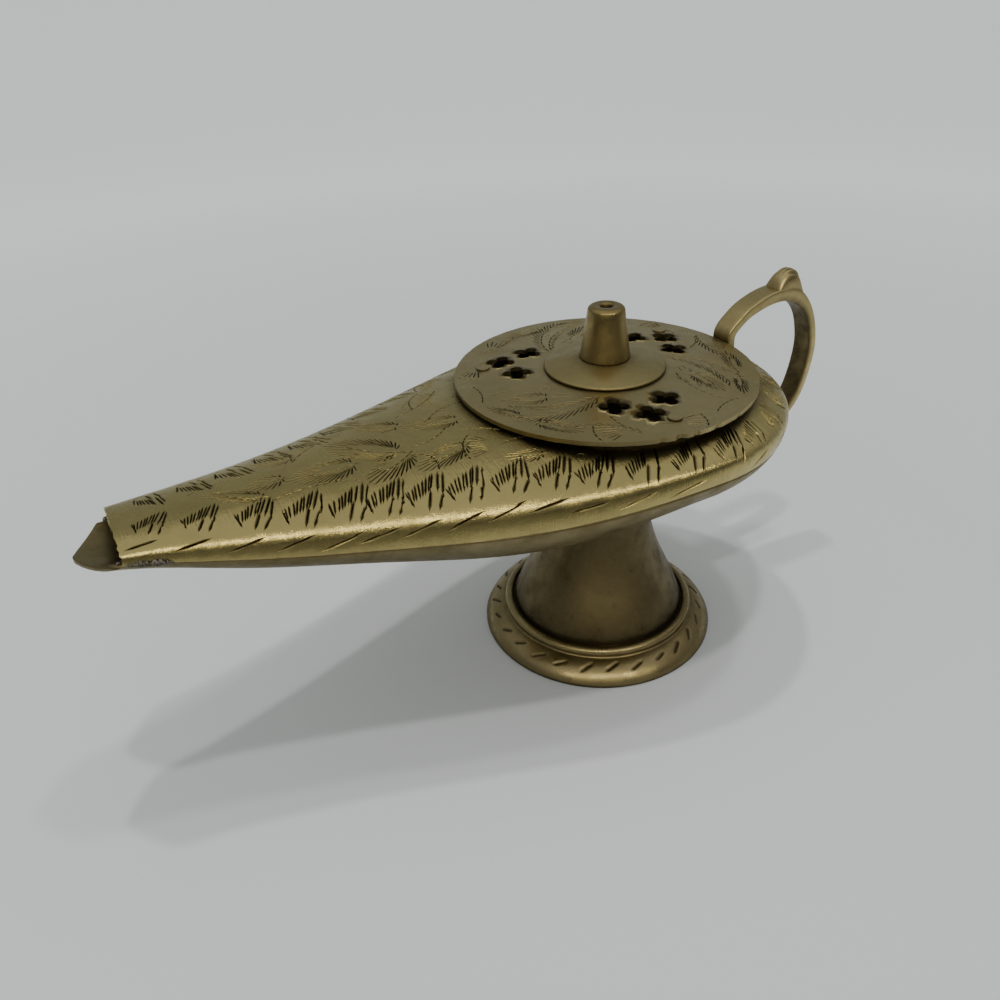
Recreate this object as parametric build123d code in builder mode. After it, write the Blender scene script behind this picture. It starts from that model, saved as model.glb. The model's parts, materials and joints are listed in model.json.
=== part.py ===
"""Oil lamp of the wish-lamp shape: two brass shells, a turned foot, an ear handle
and a pierced lid with a turned knob.

The origin is the centre of the face that the foot rests on. +Z is up, the spout
points to -X, the handle to +X, and the lamp is symmetric about the plane Y = 0.
All sizes are millimetres.
"""
from build123d import *
from math import asin, copysign, cos, hypot, pi, sin
import os

os.makedirs("parts", exist_ok=True)

# bowl and spout
pedestal_height = 53.8  # floor to the underside of the bowl on the lid's axis
bowl_depth = 23.9  # underside to the widest line, on the lid's axis
bowl_crown = 9.6  # widest line to the top, on the lid's axis
bowl_half_width = 49.2
rear_reach = 53.0  # lid's axis to the back of the bowl
spout_reach = 145.1  # lid's axis to the tip of the lip
mouth_half_width = 10.2
lip_length = 9.1  # lower shell beyond the upper shell
lip_half_width = 12.6
shell_wall = 1.5
crown_power = 2.295  # superellipse power of the sections above the widest line
keel_power = 1.942  # and below it
arc_points = 17  # points across a section
seam_drop = 3.4  # the seam lies this far under the widest line at the lid's axis
seam_drop_mouth = 0.7
spout_overrun = 1.0  # the sections run on past the lip and are trimmed

# solder
bead_seat = 0.3  # between the bead's flat sides and the curved shells
seam_bead = 0.9
seam_bead_height = 2.4
mouth_bead = 1.7
mouth_bead_height = 3.4
handle_bead = 1.1
handle_bead_margin = 1.3

# opening and lid
lid_margin = 8.1  # the lid's radius is this much under the mean of the bowl's half width and rear reach
lid_overhang = 4.5  # lid beyond the opening
collar_wall = 1.5
collar_height = 4.2
lid_thickness = 1.2
lid_rim_rise = 10.3  # widest line to the top of the lid at its rim
lid_rise = 1.4  # rim to knob plate
seat_gap = 0.2
hole_lobe_radius = 1.75
hole_lobe_spread = 2.35
hole_outer_share = 0.6253  # share of the way from the knob plate's edge to the opening's
hole_inner_share = 0.3724
hole_inner_angle = 17.0
hole_group_count = 3
hole_group_angle = 17.5

# lugs that centre the lid
lug_count = 3
lug_angle = 25.5
lug_width_angle = 14.0
lug_thickness = 1.0
lug_depth = 6.0
lug_foot = 5.2
lug_clearance = 0.5
rivet_radius = 1.1
rivet_head_radius = 1.9
rivet_head_height = 0.35

# knob
plate_radius = 17.15
plate_thickness = 0.9
plate_rise = 2.2
turning_gap = 0.1
knob_base_radius = 7.2
knob_top_radius = 5.1
knob_height = 14.85
knob_round = 0.6
knob_bore_radius = 1.7
screw_radius = 1.9
screw_grip = 7.0
screw_clearance = 0.08
screw_head_radius = 3.6
screw_head_height = 2.2
washer_radius = 6.5
washer_thickness = 1.0

# foot
foot_radius = 37.1
foot_bead_radius = 29.0
foot_bead_z = 9.3
foot_groove_radius = 27.4
foot_groove_z = 8.8
foot_bead_drop = 2.88  # the bead's crest to where the flange starts
foot_edge_height = 1.1
foot_wall = 2.3
neck_radius = 15.0
neck_drop = 7.8  # underside of the bowl to where the neck starts to spread
web_thickness = 3.88
foot_bolt_radius = 2.5
foot_bolt_head = 8.0  # across the flats
foot_bolt_head_height = 3.5
foot_washer_radius = 7.0
foot_washer_edge = 0.55  # above the bowl's inside, at the washer's edge
foot_nut_size = 8.0
foot_nut_height = 4.0
foot_bolt_end = 1.2  # beyond the nut

# handle
handle_width = 7.0
handle_thickness = 3.0
handle_lid_gap = 0.45
handle_reach = 29.0  # back of the bowl to the back of the handle
handle_low_inset = 9.55  # back of the bowl forward to where the lower leg's shares start
handle_top_rise = 22.6  # widest line to the top of the bar
handle_low_drop = 29.3  # widest line to the lowest point of the bar
thumb_height = 5.3

equator_z = pedestal_height + bowl_depth
bowl_center_x = rear_reach - bowl_half_width  # the back half is round about this point
spout_end_x = -(spout_reach + spout_overrun)
mouth_x = -(spout_reach - lip_length)
lid_radius = (bowl_half_width + rear_reach) / 2 - lid_margin
lid_rim_z = equator_z + lid_rim_rise
opening_radius = lid_radius - lid_overhang
hole_outer_ring = plate_radius + hole_outer_share * (opening_radius - plate_radius)
hole_inner_ring = plate_radius + hole_inner_share * (opening_radius - plate_radius)
neck_z = pedestal_height - neck_drop
web_z = pedestal_height - web_thickness
handle_top_z = equator_z + handle_top_rise
handle_low_z = equator_z - handle_low_drop

# The sections from the bowl's widest place to the spout's end: share of the length,
# of the step from mouth to bowl in half width, of the crown, of the depth,
# and the drop of the widest line as a share of the bowl's depth.
sections = [
    (0.00, 1.000, 1.000, 1.000, 0.000),
    (0.18, 0.905, 1.165, 1.058, 0.090),
    (0.36, 0.700, 1.290, 0.925, 0.180),
    (0.56, 0.430, 1.145, 0.630, 0.172),
    (0.77, 0.185, 0.820, 0.406, 0.058),
    (0.94, 0.037, 0.420, 0.215, -0.100),
    (1.00, 0.000, 0.340, 0.165, -0.121),
]
mouth_section = len(sections) - 2  # the section where the mouth's solder ends


def section_sizes(section, inset):
    """Half width, widest height, crown and depth of one section, drawn in by inset."""
    share, width, crown, depth, drop = section
    half_width = mouth_half_width + width * (bowl_half_width - mouth_half_width) - inset
    return half_width, equator_z - drop * bowl_depth, crown * bowl_crown - inset, depth * bowl_depth - inset


def seam_z(section):
    """Height of the seam between the shells: it nears the widest line towards the mouth."""
    share, width, crown, depth, drop = section
    return equator_z - drop * bowl_depth - seam_drop_mouth - width * (seam_drop - seam_drop_mouth)


def section_arc(section, inset, low_z, above):
    """Points across a section, over the crown or under the keel, between two places at low_z."""
    half_width, widest_z, crown, depth = section_sizes(section, inset)
    start = -asin(((widest_z - low_z) / depth) ** (keel_power / 2))
    sweep = pi - 2 * start if above else -pi - 2 * start
    points = []
    for step in range(arc_points):
        angle = start + sweep * step / (arc_points - 1)
        height, power = (crown, crown_power) if sin(angle) > 0 else (-depth, keel_power)
        across = copysign(half_width * abs(cos(angle)) ** (2 / power), cos(angle))
        points.append((across, widest_z + height * abs(sin(angle)) ** (2 / power)))
    return points


def section_plane(section):
    """The plane of a section, square to the spout."""
    return Plane.YZ.offset(bowl_center_x + section[0] * (spout_end_x - bowl_center_x))


def with_round_back(front):
    """A lofted front with its widest face turned half round to make the back."""
    widest_face = front.faces().sort_by(Axis.X)[-1]
    half_face = split(widest_face, bisect_by=Plane.XZ, keep=Keep.TOP)
    with BuildPart() as whole:
        add(front)
        revolve(half_face, axis=back_axis, revolution_arc=180)
    return whole.part


def shell(above):
    """The upper or the lower shell, without its cut-outs."""
    with BuildPart() as front:
        for section in sections:
            outside = section_arc(section, 0, seam_z(section), above)
            inside = section_arc(section, shell_wall, seam_z(section), above)
            with BuildSketch(section_plane(section)):
                with BuildLine():
                    Spline(*outside)
                    Line(outside[-1], inside[-1])
                    Spline(*inside)
                    Line(inside[0], outside[0])
                make_face()
        loft()
    return with_round_back(front.part)


def keel_block():
    """The closed space of the lower shell, up to the seam."""
    with BuildPart() as front:
        for section in sections:
            outside = section_arc(section, 0, seam_z(section), False)
            with BuildSketch(section_plane(section)):
                with BuildLine():
                    Spline(*outside)
                    Line(outside[-1], outside[0])
                make_face()
        loft()
    return with_round_back(front.part)


def back_block(inset):
    """The closed back half of the bowl, drawn in by inset from its outside."""
    over = section_arc(sections[0], inset, equator_z, True)
    under = section_arc(sections[0], inset, equator_z, False)
    middle = arc_points // 2
    with BuildPart() as block:
        with BuildSketch(Plane.YZ.offset(bowl_center_x)):
            with BuildLine():
                Spline(*over[middle:])
                Spline(*under[middle:])
                Line(over[middle], under[middle])
            make_face()
        revolve(axis=back_axis, revolution_arc=180)
    return block.part


def bead(section, thick, height, side):
    """A bead's outline in the angle of both shells' insides, centred on the seam."""
    middle_z = seam_z(section)
    foot = section_arc(section, shell_wall + bead_seat, middle_z - height / 2, False)[0][0]
    head = section_arc(section, shell_wall + bead_seat, middle_z, True)[0][0]
    return [
        (side * foot, middle_z - height / 2),
        (side * head, middle_z),
        (side * head, middle_z + height / 2),
        (side * (head - thick), middle_z + height / 4),
        (side * (foot - thick), middle_z - height / 4),
    ]


def bead_run(from_section, to_section, thick, height, side):
    """A bead along one side of the seam between two sections."""
    with BuildPart() as run:
        for section in sections[from_section : to_section + 1]:
            with BuildSketch(section_plane(section)):
                with BuildLine():
                    Polyline(*bead(section, thick, height, side), close=True)
                make_face()
        loft()
    return run.part


back_axis = Axis((bowl_center_x, 0, 0), (0, 0, 1))

# The lower shell runs on past the upper one as a rounded lip.
with BuildPart() as lower_shell:
    add(shell(False))
    with BuildSketch(Plane.XY):
        with Locations((mouth_x - rear_reach, 0)):
            Rectangle(2 * rear_reach, 2 * bowl_half_width)
        with Locations((mouth_x, 0)):
            Ellipse(lip_length, lip_half_width, mode=Mode.SUBTRACT)
    extrude(amount=2 * equator_z, mode=Mode.SUBTRACT)
    with BuildSketch(Plane.XY):
        Circle(foot_bolt_radius)
    extrude(amount=equator_z, mode=Mode.SUBTRACT)
lower_shell.part.label = "lower_shell"
export_step(lower_shell.part, "parts/lower_shell.step")

# The lid's top and underside are shallow cones between the rim and the knob plate.
lid_slope = lid_rise / (lid_radius - plate_radius)


def lid_top(radius):
    """Height of the lid's upper face at a radius."""
    return lid_rim_z + lid_slope * (lid_radius - max(radius, plate_radius))


def lid_under(radius):
    """Height of the lid's lower face at a radius."""
    return lid_top(radius) - lid_thickness


collar_top = lid_under(opening_radius + collar_wall) - seat_gap

# A collar stands round the opening and carries the lid.
with BuildPart() as upper_shell:
    add(shell(True))
    with BuildSketch(Plane.XY.offset(collar_top - collar_height)):
        Circle(opening_radius + collar_wall)
    extrude(amount=collar_height)
    with BuildSketch(Plane.XY.offset(equator_z)):
        Circle(opening_radius)
    extrude(amount=2 * bowl_crown, mode=Mode.SUBTRACT)
    with BuildSketch(Plane.XY.offset(collar_top)):
        Circle(opening_radius + collar_wall)
    extrude(amount=bowl_crown, mode=Mode.SUBTRACT)
    with BuildSketch(Plane.XY):
        with Locations((mouth_x - rear_reach, 0)):
            Rectangle(2 * rear_reach, 2 * bowl_half_width)
    extrude(amount=2 * equator_z, mode=Mode.SUBTRACT)
upper_shell.part.label = "upper_shell"
export_step(upper_shell.part, "parts/upper_shell.step")

with BuildPart() as seam_solder:
    for side in (1, -1):
        add(bead_run(0, mouth_section - 1, seam_bead, seam_bead_height, side))
    with BuildSketch(Plane.YZ.offset(bowl_center_x)):
        with BuildLine():
            Polyline(*bead(sections[0], seam_bead, seam_bead_height, -1), close=True)
        make_face()
    revolve(axis=back_axis, revolution_arc=180)
seam_solder.part.label = "seam_solder"
export_step(seam_solder.part, "parts/seam_solder.step")

# Where the mouth opens, the solder is run in thicker on both sides.
for side, name in ((-1, "spout_solder_left"), (1, "spout_solder_right")):
    with BuildPart() as spout_solder:
        add(bead_run(mouth_section - 1, mouth_section, mouth_bead, mouth_bead_height, side))
    spout_solder.part.label = name
    export_step(spout_solder.part, f"parts/{name}.step")

# The foot is one hollow turned casting: trumpet neck, groove, bead and spread flange.
# Share of the neck's spread from its top to the groove, and share of its fall.
neck_course = [(0.00, 0.00), (0.10, 0.23), (0.29, 0.44), (0.57, 0.66), (0.82, 0.84), (1.00, 1.00)]


def trumpet(wall):
    """The neck's outline from the bowl down to the groove, drawn in by wall."""
    spread = foot_groove_radius - neck_radius
    fall = neck_z - foot_groove_z
    return [(neck_radius + out * spread - wall, neck_z - down * fall) for out, down in neck_course]


neck_fall = (0.0, -1.0)
neck_end = (0.42, -1.0)
bead_half = foot_bead_radius - foot_groove_radius
flange_start = (foot_bead_radius + bead_half, foot_bead_z - foot_bead_drop)
flange_end = (foot_radius, foot_edge_height)
flange_out, flange_down = (0.62, 0.36)  # shares of the flange's run and fall at its middle
flange_middle = (
    flange_start[0] + flange_out * (foot_radius - flange_start[0]),
    flange_start[1] - flange_down * (flange_start[1] - foot_edge_height),
)
flange_inner = (foot_radius - foot_wall, 0.0)

with BuildPart() as pedestal_foot:
    with BuildSketch(Plane.XZ):
        with BuildLine():
            Polyline((0, 0), (0, pedestal_height + shell_wall), (neck_radius, pedestal_height + shell_wall))
            Line((neck_radius, pedestal_height + shell_wall), (neck_radius, neck_z))
            Spline(*trumpet(0), tangents=[neck_fall, neck_end])
            ThreePointArc(trumpet(0)[-1], (foot_bead_radius, foot_bead_z), flange_start)
            ThreePointArc(flange_start, flange_middle, flange_end)
            Polyline(flange_end, (foot_radius, 0), (0, 0))
        make_face()
    revolve(axis=Axis.Z)
    with BuildSketch(Plane.XZ):
        with BuildLine():
            Polyline((0, 0), (0, web_z), (neck_radius - foot_wall, web_z), (neck_radius - foot_wall, neck_z))
            Spline(*trumpet(foot_wall), tangents=[neck_fall, neck_end])
            Polyline(trumpet(foot_wall)[-1], (flange_start[0], flange_start[1] - foot_wall), flange_inner)
            Line(flange_inner, (0, 0))
        make_face()
    revolve(axis=Axis.Z, mode=Mode.SUBTRACT)
    add(keel_block(), mode=Mode.SUBTRACT)
    add(lower_shell.part, mode=Mode.SUBTRACT)
    with BuildSketch(Plane.XY):
        Circle(foot_bolt_radius)
    extrude(amount=equator_z, mode=Mode.SUBTRACT)
pedestal_foot.part.label = "pedestal_foot"
export_step(pedestal_foot.part, "parts/pedestal_foot.step")

inner_half_width = bowl_half_width - shell_wall
inner_depth = bowl_depth - shell_wall


def floor_z(radius):
    """Height of the bowl's inside at a radius from the middle of its round back."""
    height = (1 - (radius / inner_half_width) ** keel_power) ** (1 / keel_power)
    return equator_z - inner_depth * height


foot_washer_top = floor_z(foot_washer_radius + abs(bowl_center_x)) + foot_washer_edge
foot_nut_top = foot_washer_top + foot_nut_height

with BuildPart() as foot_bolt:
    with BuildSketch(Plane.XY.offset(web_z - foot_bolt_head_height)):
        RegularPolygon(foot_bolt_head / 2, 6, major_radius=False)
    extrude(amount=foot_bolt_head_height)
    with BuildSketch(Plane.XY.offset(web_z)):
        Circle(foot_bolt_radius)
    extrude(amount=foot_nut_top + foot_bolt_end - web_z)
foot_bolt.part.label = "foot_bolt"
export_step(foot_bolt.part, "parts/foot_bolt.step")

# The washer is dished to the inside of the bowl and flat on top.
with BuildPart() as foot_washer:
    with BuildSketch(Plane.XY.offset(pedestal_height + shell_wall / 2)):
        Circle(foot_washer_radius)
    extrude(amount=foot_washer_top - pedestal_height - shell_wall / 2)
    add(lower_shell.part, mode=Mode.SUBTRACT)
    with BuildSketch(Plane.XY):
        Circle(foot_bolt_radius)
    extrude(amount=equator_z, mode=Mode.SUBTRACT)
foot_washer.part.label = "foot_washer"
export_step(foot_washer.part, "parts/foot_washer.step")

with BuildPart() as foot_nut:
    with BuildSketch(Plane.XY.offset(foot_washer_top)):
        RegularPolygon(foot_nut_size / 2, 6, major_radius=False)
        Circle(foot_bolt_radius, mode=Mode.SUBTRACT)
    extrude(amount=foot_nut_height)
foot_nut.part.label = "foot_nut"
export_step(foot_nut.part, "parts/foot_nut.step")

back_solid = back_block(0)

# The handle is a flat bar bent to an ear, with a thumb rest cast on its corner.
handle_front_x = lid_radius + handle_lid_gap
handle_back_x = rear_reach + handle_reach
handle_low_front_x = rear_reach - handle_low_inset
handle_tall = handle_top_z - handle_low_z

handle_turn = 0.5  # share of the height where the top turns into the lower leg

# Share of the span back from the front, share of the height up from the lowest
# point, and the bar's thickness there as a multiple of the handle's.
handle_course = [
    (0.000, 0.560, 1.00),
    (-0.004, 0.700, 1.00),
    (0.002, 0.815, 1.00),
    (0.100, 0.892, 1.00),
    (0.195, 0.940, 1.10),
    (0.400, 0.993, 1.25),
    (0.600, 1.000, 1.35),
    (0.730, 0.972, 1.45),
    (0.845, 0.892, 1.20),
    (0.932, 0.780, 1.00),
    (0.991, 0.632, 1.00),
    (0.998, 0.510, 1.00),
    (0.925, 0.270, 1.00),
    (0.777, 0.122, 1.00),
    (0.580, 0.020, 1.00),
    (0.350, 0.005, 1.00),
    (0.110, 0.110, 1.00),
    (-0.090, 0.290, 1.00),
]


def course_point(share_x, share_z):
    """A point of the handle's outer line from its shares: the top starts at the lid, the leg at the bowl."""
    front_x = handle_front_x if share_z > handle_turn else handle_low_front_x
    return front_x + share_x * (handle_back_x - front_x), handle_low_z + share_z * handle_tall


handle_outer = [course_point(x, z) for x, z, thick in handle_course]


def inner_point(index):
    """The outer point moved inwards, square to the line, by the bar's thickness."""
    before = handle_outer[max(index - 1, 0)]
    after = handle_outer[min(index + 1, len(handle_outer) - 1)]
    along = hypot(after[0] - before[0], after[1] - before[1])
    thick = handle_thickness * handle_course[index][2]
    return (
        handle_outer[index][0] + thick * (after[1] - before[1]) / along,
        handle_outer[index][1] - thick * (after[0] - before[0]) / along,
    )


handle_inner = [inner_point(i) for i in range(len(handle_outer))]

# The thumb rest stands on the bar between its top and its back corner.
# Its crest is given as shares of the span and of the thumb rest's height, its root as the bar is.
thumb_crest = [(0.430, 0.45), (0.520, 0.90), (0.620, 1.00), (0.700, 0.86), (0.735, 0.44)]
thumb_root = [(0.790, 0.945), (0.845, 0.885), (0.700, 0.940), (0.400, 0.970)]
thumb_outline = [(course_point(x, 1)[0], handle_top_z + rise * thumb_height) for x, rise in thumb_crest]
thumb_outline += [course_point(x, z) for x, z in thumb_root]

with BuildPart() as handle:
    with BuildSketch(Plane.XZ):
        with BuildLine():
            Spline(*handle_outer)
            Line(handle_outer[-1], handle_inner[-1])
            Spline(*handle_inner)
            Line(handle_inner[0], handle_outer[0])
        make_face()
        with BuildLine():
            Polyline(*thumb_outline, close=True)
        make_face()
    extrude(amount=handle_width / 2, both=True)
    add(back_solid, mode=Mode.SUBTRACT)
    with BuildSketch(Plane.XY.offset(equator_z)):
        Circle(lid_radius + handle_lid_gap)
    extrude(amount=handle_top_z - equator_z, mode=Mode.SUBTRACT)
handle.part.label = "handle"
export_step(handle.part, "parts/handle.step")

# Solder pads follow the bowl around both ends of the handle.
grown_back = back_block(-handle_bead)
handle_ends = (
    ("handle_top_solder", handle_front_x, handle_inner[0][0] + handle_bead_margin, 1),
    ("handle_bottom_solder", handle_outer[-1][0] - handle_bead_margin, handle_inner[-2][0], -1),
)
for name, from_x, to_x, upward in handle_ends:
    with BuildPart() as solder:
        add(grown_back)
        add(back_solid, mode=Mode.SUBTRACT)
        add(lower_shell.part, mode=Mode.SUBTRACT)
        with BuildPart(mode=Mode.PRIVATE) as pad_zone:
            with BuildSketch(Plane.XY.offset(equator_z)):
                with Locations(((from_x + to_x) / 2, 0)):
                    Rectangle(to_x - from_x, handle_width + 2 * handle_bead_margin)
            extrude(amount=upward * equator_z)
        add(pad_zone.part, mode=Mode.INTERSECT)
        add(handle.part, mode=Mode.SUBTRACT)
    solder.part.label = name
    export_step(solder.part, f"parts/{name}.step")

# The lid is a shallow cone, pierced with groups of four-lobed holes.
screw_hole_radius = screw_radius + screw_clearance
lug_outer = opening_radius - lug_clearance
lug_inner = lug_outer - lug_foot
rivet_ring = (lug_inner + lug_outer - lug_thickness) / 2

with BuildPart() as lid_disc:
    with BuildSketch(Plane.XZ):
        with BuildLine():
            Polyline(
                (screw_hole_radius, lid_top(0)),
                (plate_radius, lid_top(plate_radius)),
                (lid_radius, lid_top(lid_radius)),
                (lid_radius, lid_under(lid_radius)),
                (plate_radius, lid_under(plate_radius)),
                (screw_hole_radius, lid_under(0)),
                close=True,
            )
        make_face()
    revolve(axis=Axis.Z)
    with BuildSketch(Plane.XY.offset(lid_rim_z - 2 * lid_thickness)):
        for group in range(hole_group_count):
            turn = hole_group_angle + 360 / hole_group_count * group
            for ring, off in (
                (hole_outer_ring, 0),
                (hole_inner_ring, hole_inner_angle),
                (hole_inner_ring, -hole_inner_angle),
            ):
                center = Vector(ring, 0).rotate(Axis.Z, turn + off)
                with Locations(Location((center.X, center.Y), turn + off)):
                    Rectangle(2 * hole_lobe_spread, hole_lobe_radius)
                    Rectangle(hole_lobe_radius, 2 * hole_lobe_spread)
                    with PolarLocations(hole_lobe_spread, 4):
                        Circle(hole_lobe_radius)
    extrude(amount=2 * lid_thickness + 2 * lid_rise, mode=Mode.SUBTRACT)
    with BuildSketch(Plane.XY.offset(lid_rim_z - 2 * lid_thickness)):
        with PolarLocations(rivet_ring, lug_count, start_angle=lug_angle):
            Circle(rivet_radius)
    extrude(amount=2 * lid_thickness + 2 * lid_rise, mode=Mode.SUBTRACT)
lid_disc.part.label = "lid_disc"
export_step(lid_disc.part, "parts/lid_disc.step")


def upright_plane(turn):
    """The plane through the lid's axis, turned from +X."""
    outwards = Vector(1, 0, 0).rotate(Axis.Z, turn)
    return Plane(origin=(0, 0, 0), x_dir=outwards, z_dir=outwards.cross(Vector(0, 0, 1)))


for index in range(lug_count):
    turn = lug_angle + 360 / lug_count * index
    with BuildPart() as lid_lug:
        with BuildSketch(upright_plane(turn - lug_width_angle / 2)):
            with BuildLine():
                Polyline(
                    (lug_inner, lid_under(lug_inner)),
                    (lug_outer, lid_under(lug_outer)),
                    (lug_outer, lid_under(lug_outer) - lug_depth),
                    (lug_outer - lug_thickness, lid_under(lug_outer) - lug_depth),
                    (lug_outer - lug_thickness, lid_under(lug_outer) - lug_thickness),
                    (lug_inner, lid_under(lug_inner) - lug_thickness),
                    close=True,
                )
            make_face()
        revolve(axis=Axis.Z, revolution_arc=lug_width_angle)
        with BuildSketch(Plane.XY.offset(lid_rim_z - lug_depth)):
            with PolarLocations(rivet_ring, 1, start_angle=turn):
                Circle(rivet_radius)
        extrude(amount=2 * lug_depth, mode=Mode.SUBTRACT)
    lid_lug.part.label = f"lid_lug_{index + 1}"
    export_step(lid_lug.part, f"parts/lid_lug_{index + 1}.step")

# A rivet clamps each lug to the lid, its head hammered flat on top.
rivet_top = lid_top(rivet_ring - rivet_head_radius)
rivet_under = lid_under(lug_outer) - lug_thickness
with BuildPart() as lug_rivets:
    with BuildSketch(Plane.XY.offset(rivet_under - 2 * rivet_head_height)):
        with PolarLocations(rivet_ring, lug_count, start_angle=lug_angle):
            Circle(rivet_radius)
    extrude(amount=rivet_top + rivet_head_height - rivet_under + 2 * rivet_head_height)
    with BuildSketch(Plane.XY.offset(rivet_top)):
        with PolarLocations(rivet_ring, lug_count, start_angle=lug_angle):
            Circle(rivet_head_radius)
    extrude(amount=rivet_head_height)
    with BuildSketch(Plane.XY.offset(rivet_under - 2 * rivet_head_height)):
        with PolarLocations(rivet_ring, lug_count, start_angle=lug_angle):
            Circle(rivet_head_radius)
    extrude(amount=2 * rivet_head_height)
lug_rivets.part.label = "lug_rivets"
export_step(lug_rivets.part, "parts/lug_rivets.step")

# The knob plate is a dished disc; the knob stands on it and a screw holds both to the lid.
plate_under = lid_top(0) + turning_gap
plate_edge = plate_under + plate_thickness
plate_top = plate_edge + plate_rise

with BuildPart() as knob_plate:
    with BuildSketch(Plane.XZ):
        with BuildLine():
            Polyline(
                (screw_hole_radius, plate_top),
                (knob_base_radius, plate_top),
                (plate_radius, plate_edge),
                (plate_radius, plate_under),
                (plate_radius - plate_thickness, plate_under),
                (knob_base_radius, plate_top - plate_thickness),
                (screw_hole_radius, plate_top - plate_thickness),
                close=True,
            )
        make_face()
    revolve(axis=Axis.Z)
knob_plate.part.label = "knob_plate"
export_step(knob_plate.part, "parts/knob_plate.step")

with BuildPart() as knob:
    with BuildSketch(Plane.XY.offset(plate_top)):
        Circle(knob_base_radius)
    with BuildSketch(Plane.XY.offset(plate_top + knob_height)):
        Circle(knob_top_radius)
    loft()
    fillet(knob.edges().group_by(Axis.Z)[-1], knob_round)
    with BuildSketch(Plane.XY.offset(plate_top)):
        Circle(screw_radius)
    extrude(amount=screw_grip, mode=Mode.SUBTRACT)
    with BuildSketch(Plane.XY.offset(plate_top + screw_grip)):
        Circle(knob_bore_radius)
    extrude(amount=knob_height, mode=Mode.SUBTRACT)
knob.part.label = "knob"
export_step(knob.part, "parts/knob.step")

knob_washer_top = lid_under(0) - turning_gap
knob_washer_under = knob_washer_top - washer_thickness

with BuildPart() as knob_washer:
    with BuildSketch(Plane.XY.offset(knob_washer_under)):
        Circle(washer_radius)
        Circle(screw_radius, mode=Mode.SUBTRACT)
    extrude(amount=washer_thickness)
knob_washer.part.label = "knob_washer"
export_step(knob_washer.part, "parts/knob_washer.step")

with BuildPart() as knob_screw:
    with BuildSketch(Plane.XY.offset(knob_washer_under - screw_head_height)):
        Circle(screw_head_radius)
    extrude(amount=screw_head_height)
    with BuildSketch(Plane.XY.offset(knob_washer_under)):
        Circle(screw_radius)
    extrude(amount=plate_top + screw_grip - knob_washer_under)
knob_screw.part.label = "knob_screw"
export_step(knob_screw.part, "parts/knob_screw.step")
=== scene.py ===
import bmesh
import bpy
import json
import numpy as np
from mathutils import Matrix, Vector
from mathutils.geometry import delaunay_2d_cdt

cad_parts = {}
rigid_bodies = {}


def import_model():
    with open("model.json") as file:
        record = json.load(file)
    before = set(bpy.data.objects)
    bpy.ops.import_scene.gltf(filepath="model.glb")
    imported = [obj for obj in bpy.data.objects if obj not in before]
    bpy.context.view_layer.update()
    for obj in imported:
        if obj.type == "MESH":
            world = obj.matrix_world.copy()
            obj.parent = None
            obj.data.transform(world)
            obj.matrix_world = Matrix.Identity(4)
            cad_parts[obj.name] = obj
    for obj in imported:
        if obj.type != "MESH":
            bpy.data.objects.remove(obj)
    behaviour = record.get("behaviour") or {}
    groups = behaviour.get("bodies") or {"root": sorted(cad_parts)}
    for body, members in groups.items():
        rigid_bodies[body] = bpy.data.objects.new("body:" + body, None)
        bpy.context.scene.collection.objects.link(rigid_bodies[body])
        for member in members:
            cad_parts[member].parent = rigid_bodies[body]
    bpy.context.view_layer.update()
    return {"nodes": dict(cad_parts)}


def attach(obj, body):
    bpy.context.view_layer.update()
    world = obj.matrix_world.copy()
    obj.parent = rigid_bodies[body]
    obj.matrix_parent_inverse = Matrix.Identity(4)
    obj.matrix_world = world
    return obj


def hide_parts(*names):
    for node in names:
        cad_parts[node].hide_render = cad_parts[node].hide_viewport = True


# An aged brass oil lamp: engraved boat-shaped bowl with a spout, pierced lid with a knob, ear handle, turned foot.
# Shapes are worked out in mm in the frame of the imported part, and go into the meshes in metres.

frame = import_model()
mm = 0.001
rng = np.random.default_rng(7)
print("frame loaded", len(frame["nodes"]), "nodes")


def addObject(name, data):
    obj = bpy.data.objects.new(name, data)
    bpy.context.collection.objects.link(obj)
    return obj


def unit(vectors):
    # vectors divided by their lengths
    return vectors / np.maximum(np.linalg.norm(vectors, axis=-1, keepdims=True), 1e-12)


def towards(turn):
    # flat directions of length 1 at these turns
    return np.stack([np.cos(turn), np.sin(turn)], -1)


def lengthAlong(points):
    # distance from a line's first point to each of its points
    return np.append(0, np.cumsum(np.hypot(*np.diff(points, axis=0).T)))


# camera, solved from the circles of lid, knob and foot in the photograph
camera = {
    "place": (-135.8, -186.4, 189.2),
    "heading": 28.3,  # degrees from +Y towards +X
    "pitch": 32.12, "roll": -2.17, "lens": 31.14, "sensor": 36.0,
    "clip": (0.01, 20),
}


def makeCamera(s):
    heading, pitch, roll = np.radians([s["heading"], s["pitch"], s["roll"]])
    level = np.array([np.cos(heading), -np.sin(heading), 0.0])
    ahead = np.array([np.sin(heading) * np.cos(pitch), np.cos(heading) * np.cos(pitch), -np.sin(pitch)])
    over = np.cross(level, ahead)
    right = np.cos(roll) * level + np.sin(roll) * over
    up = -np.sin(roll) * level + np.cos(roll) * over
    data = bpy.data.cameras.new("photoCamera")
    data.lens, data.sensor_width = s["lens"], s["sensor"]
    data.clip_start, data.clip_end = s["clip"]
    obj = addObject("photoCamera", data)
    turn = np.eye(4)
    turn[:3, :3] = np.stack([right, up, -ahead], -1)
    turn[:3, 3] = np.array(s["place"]) * mm
    obj.matrix_world = Matrix(turn.tolist())
    bpy.context.scene.camera = obj


makeCamera(camera)

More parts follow.
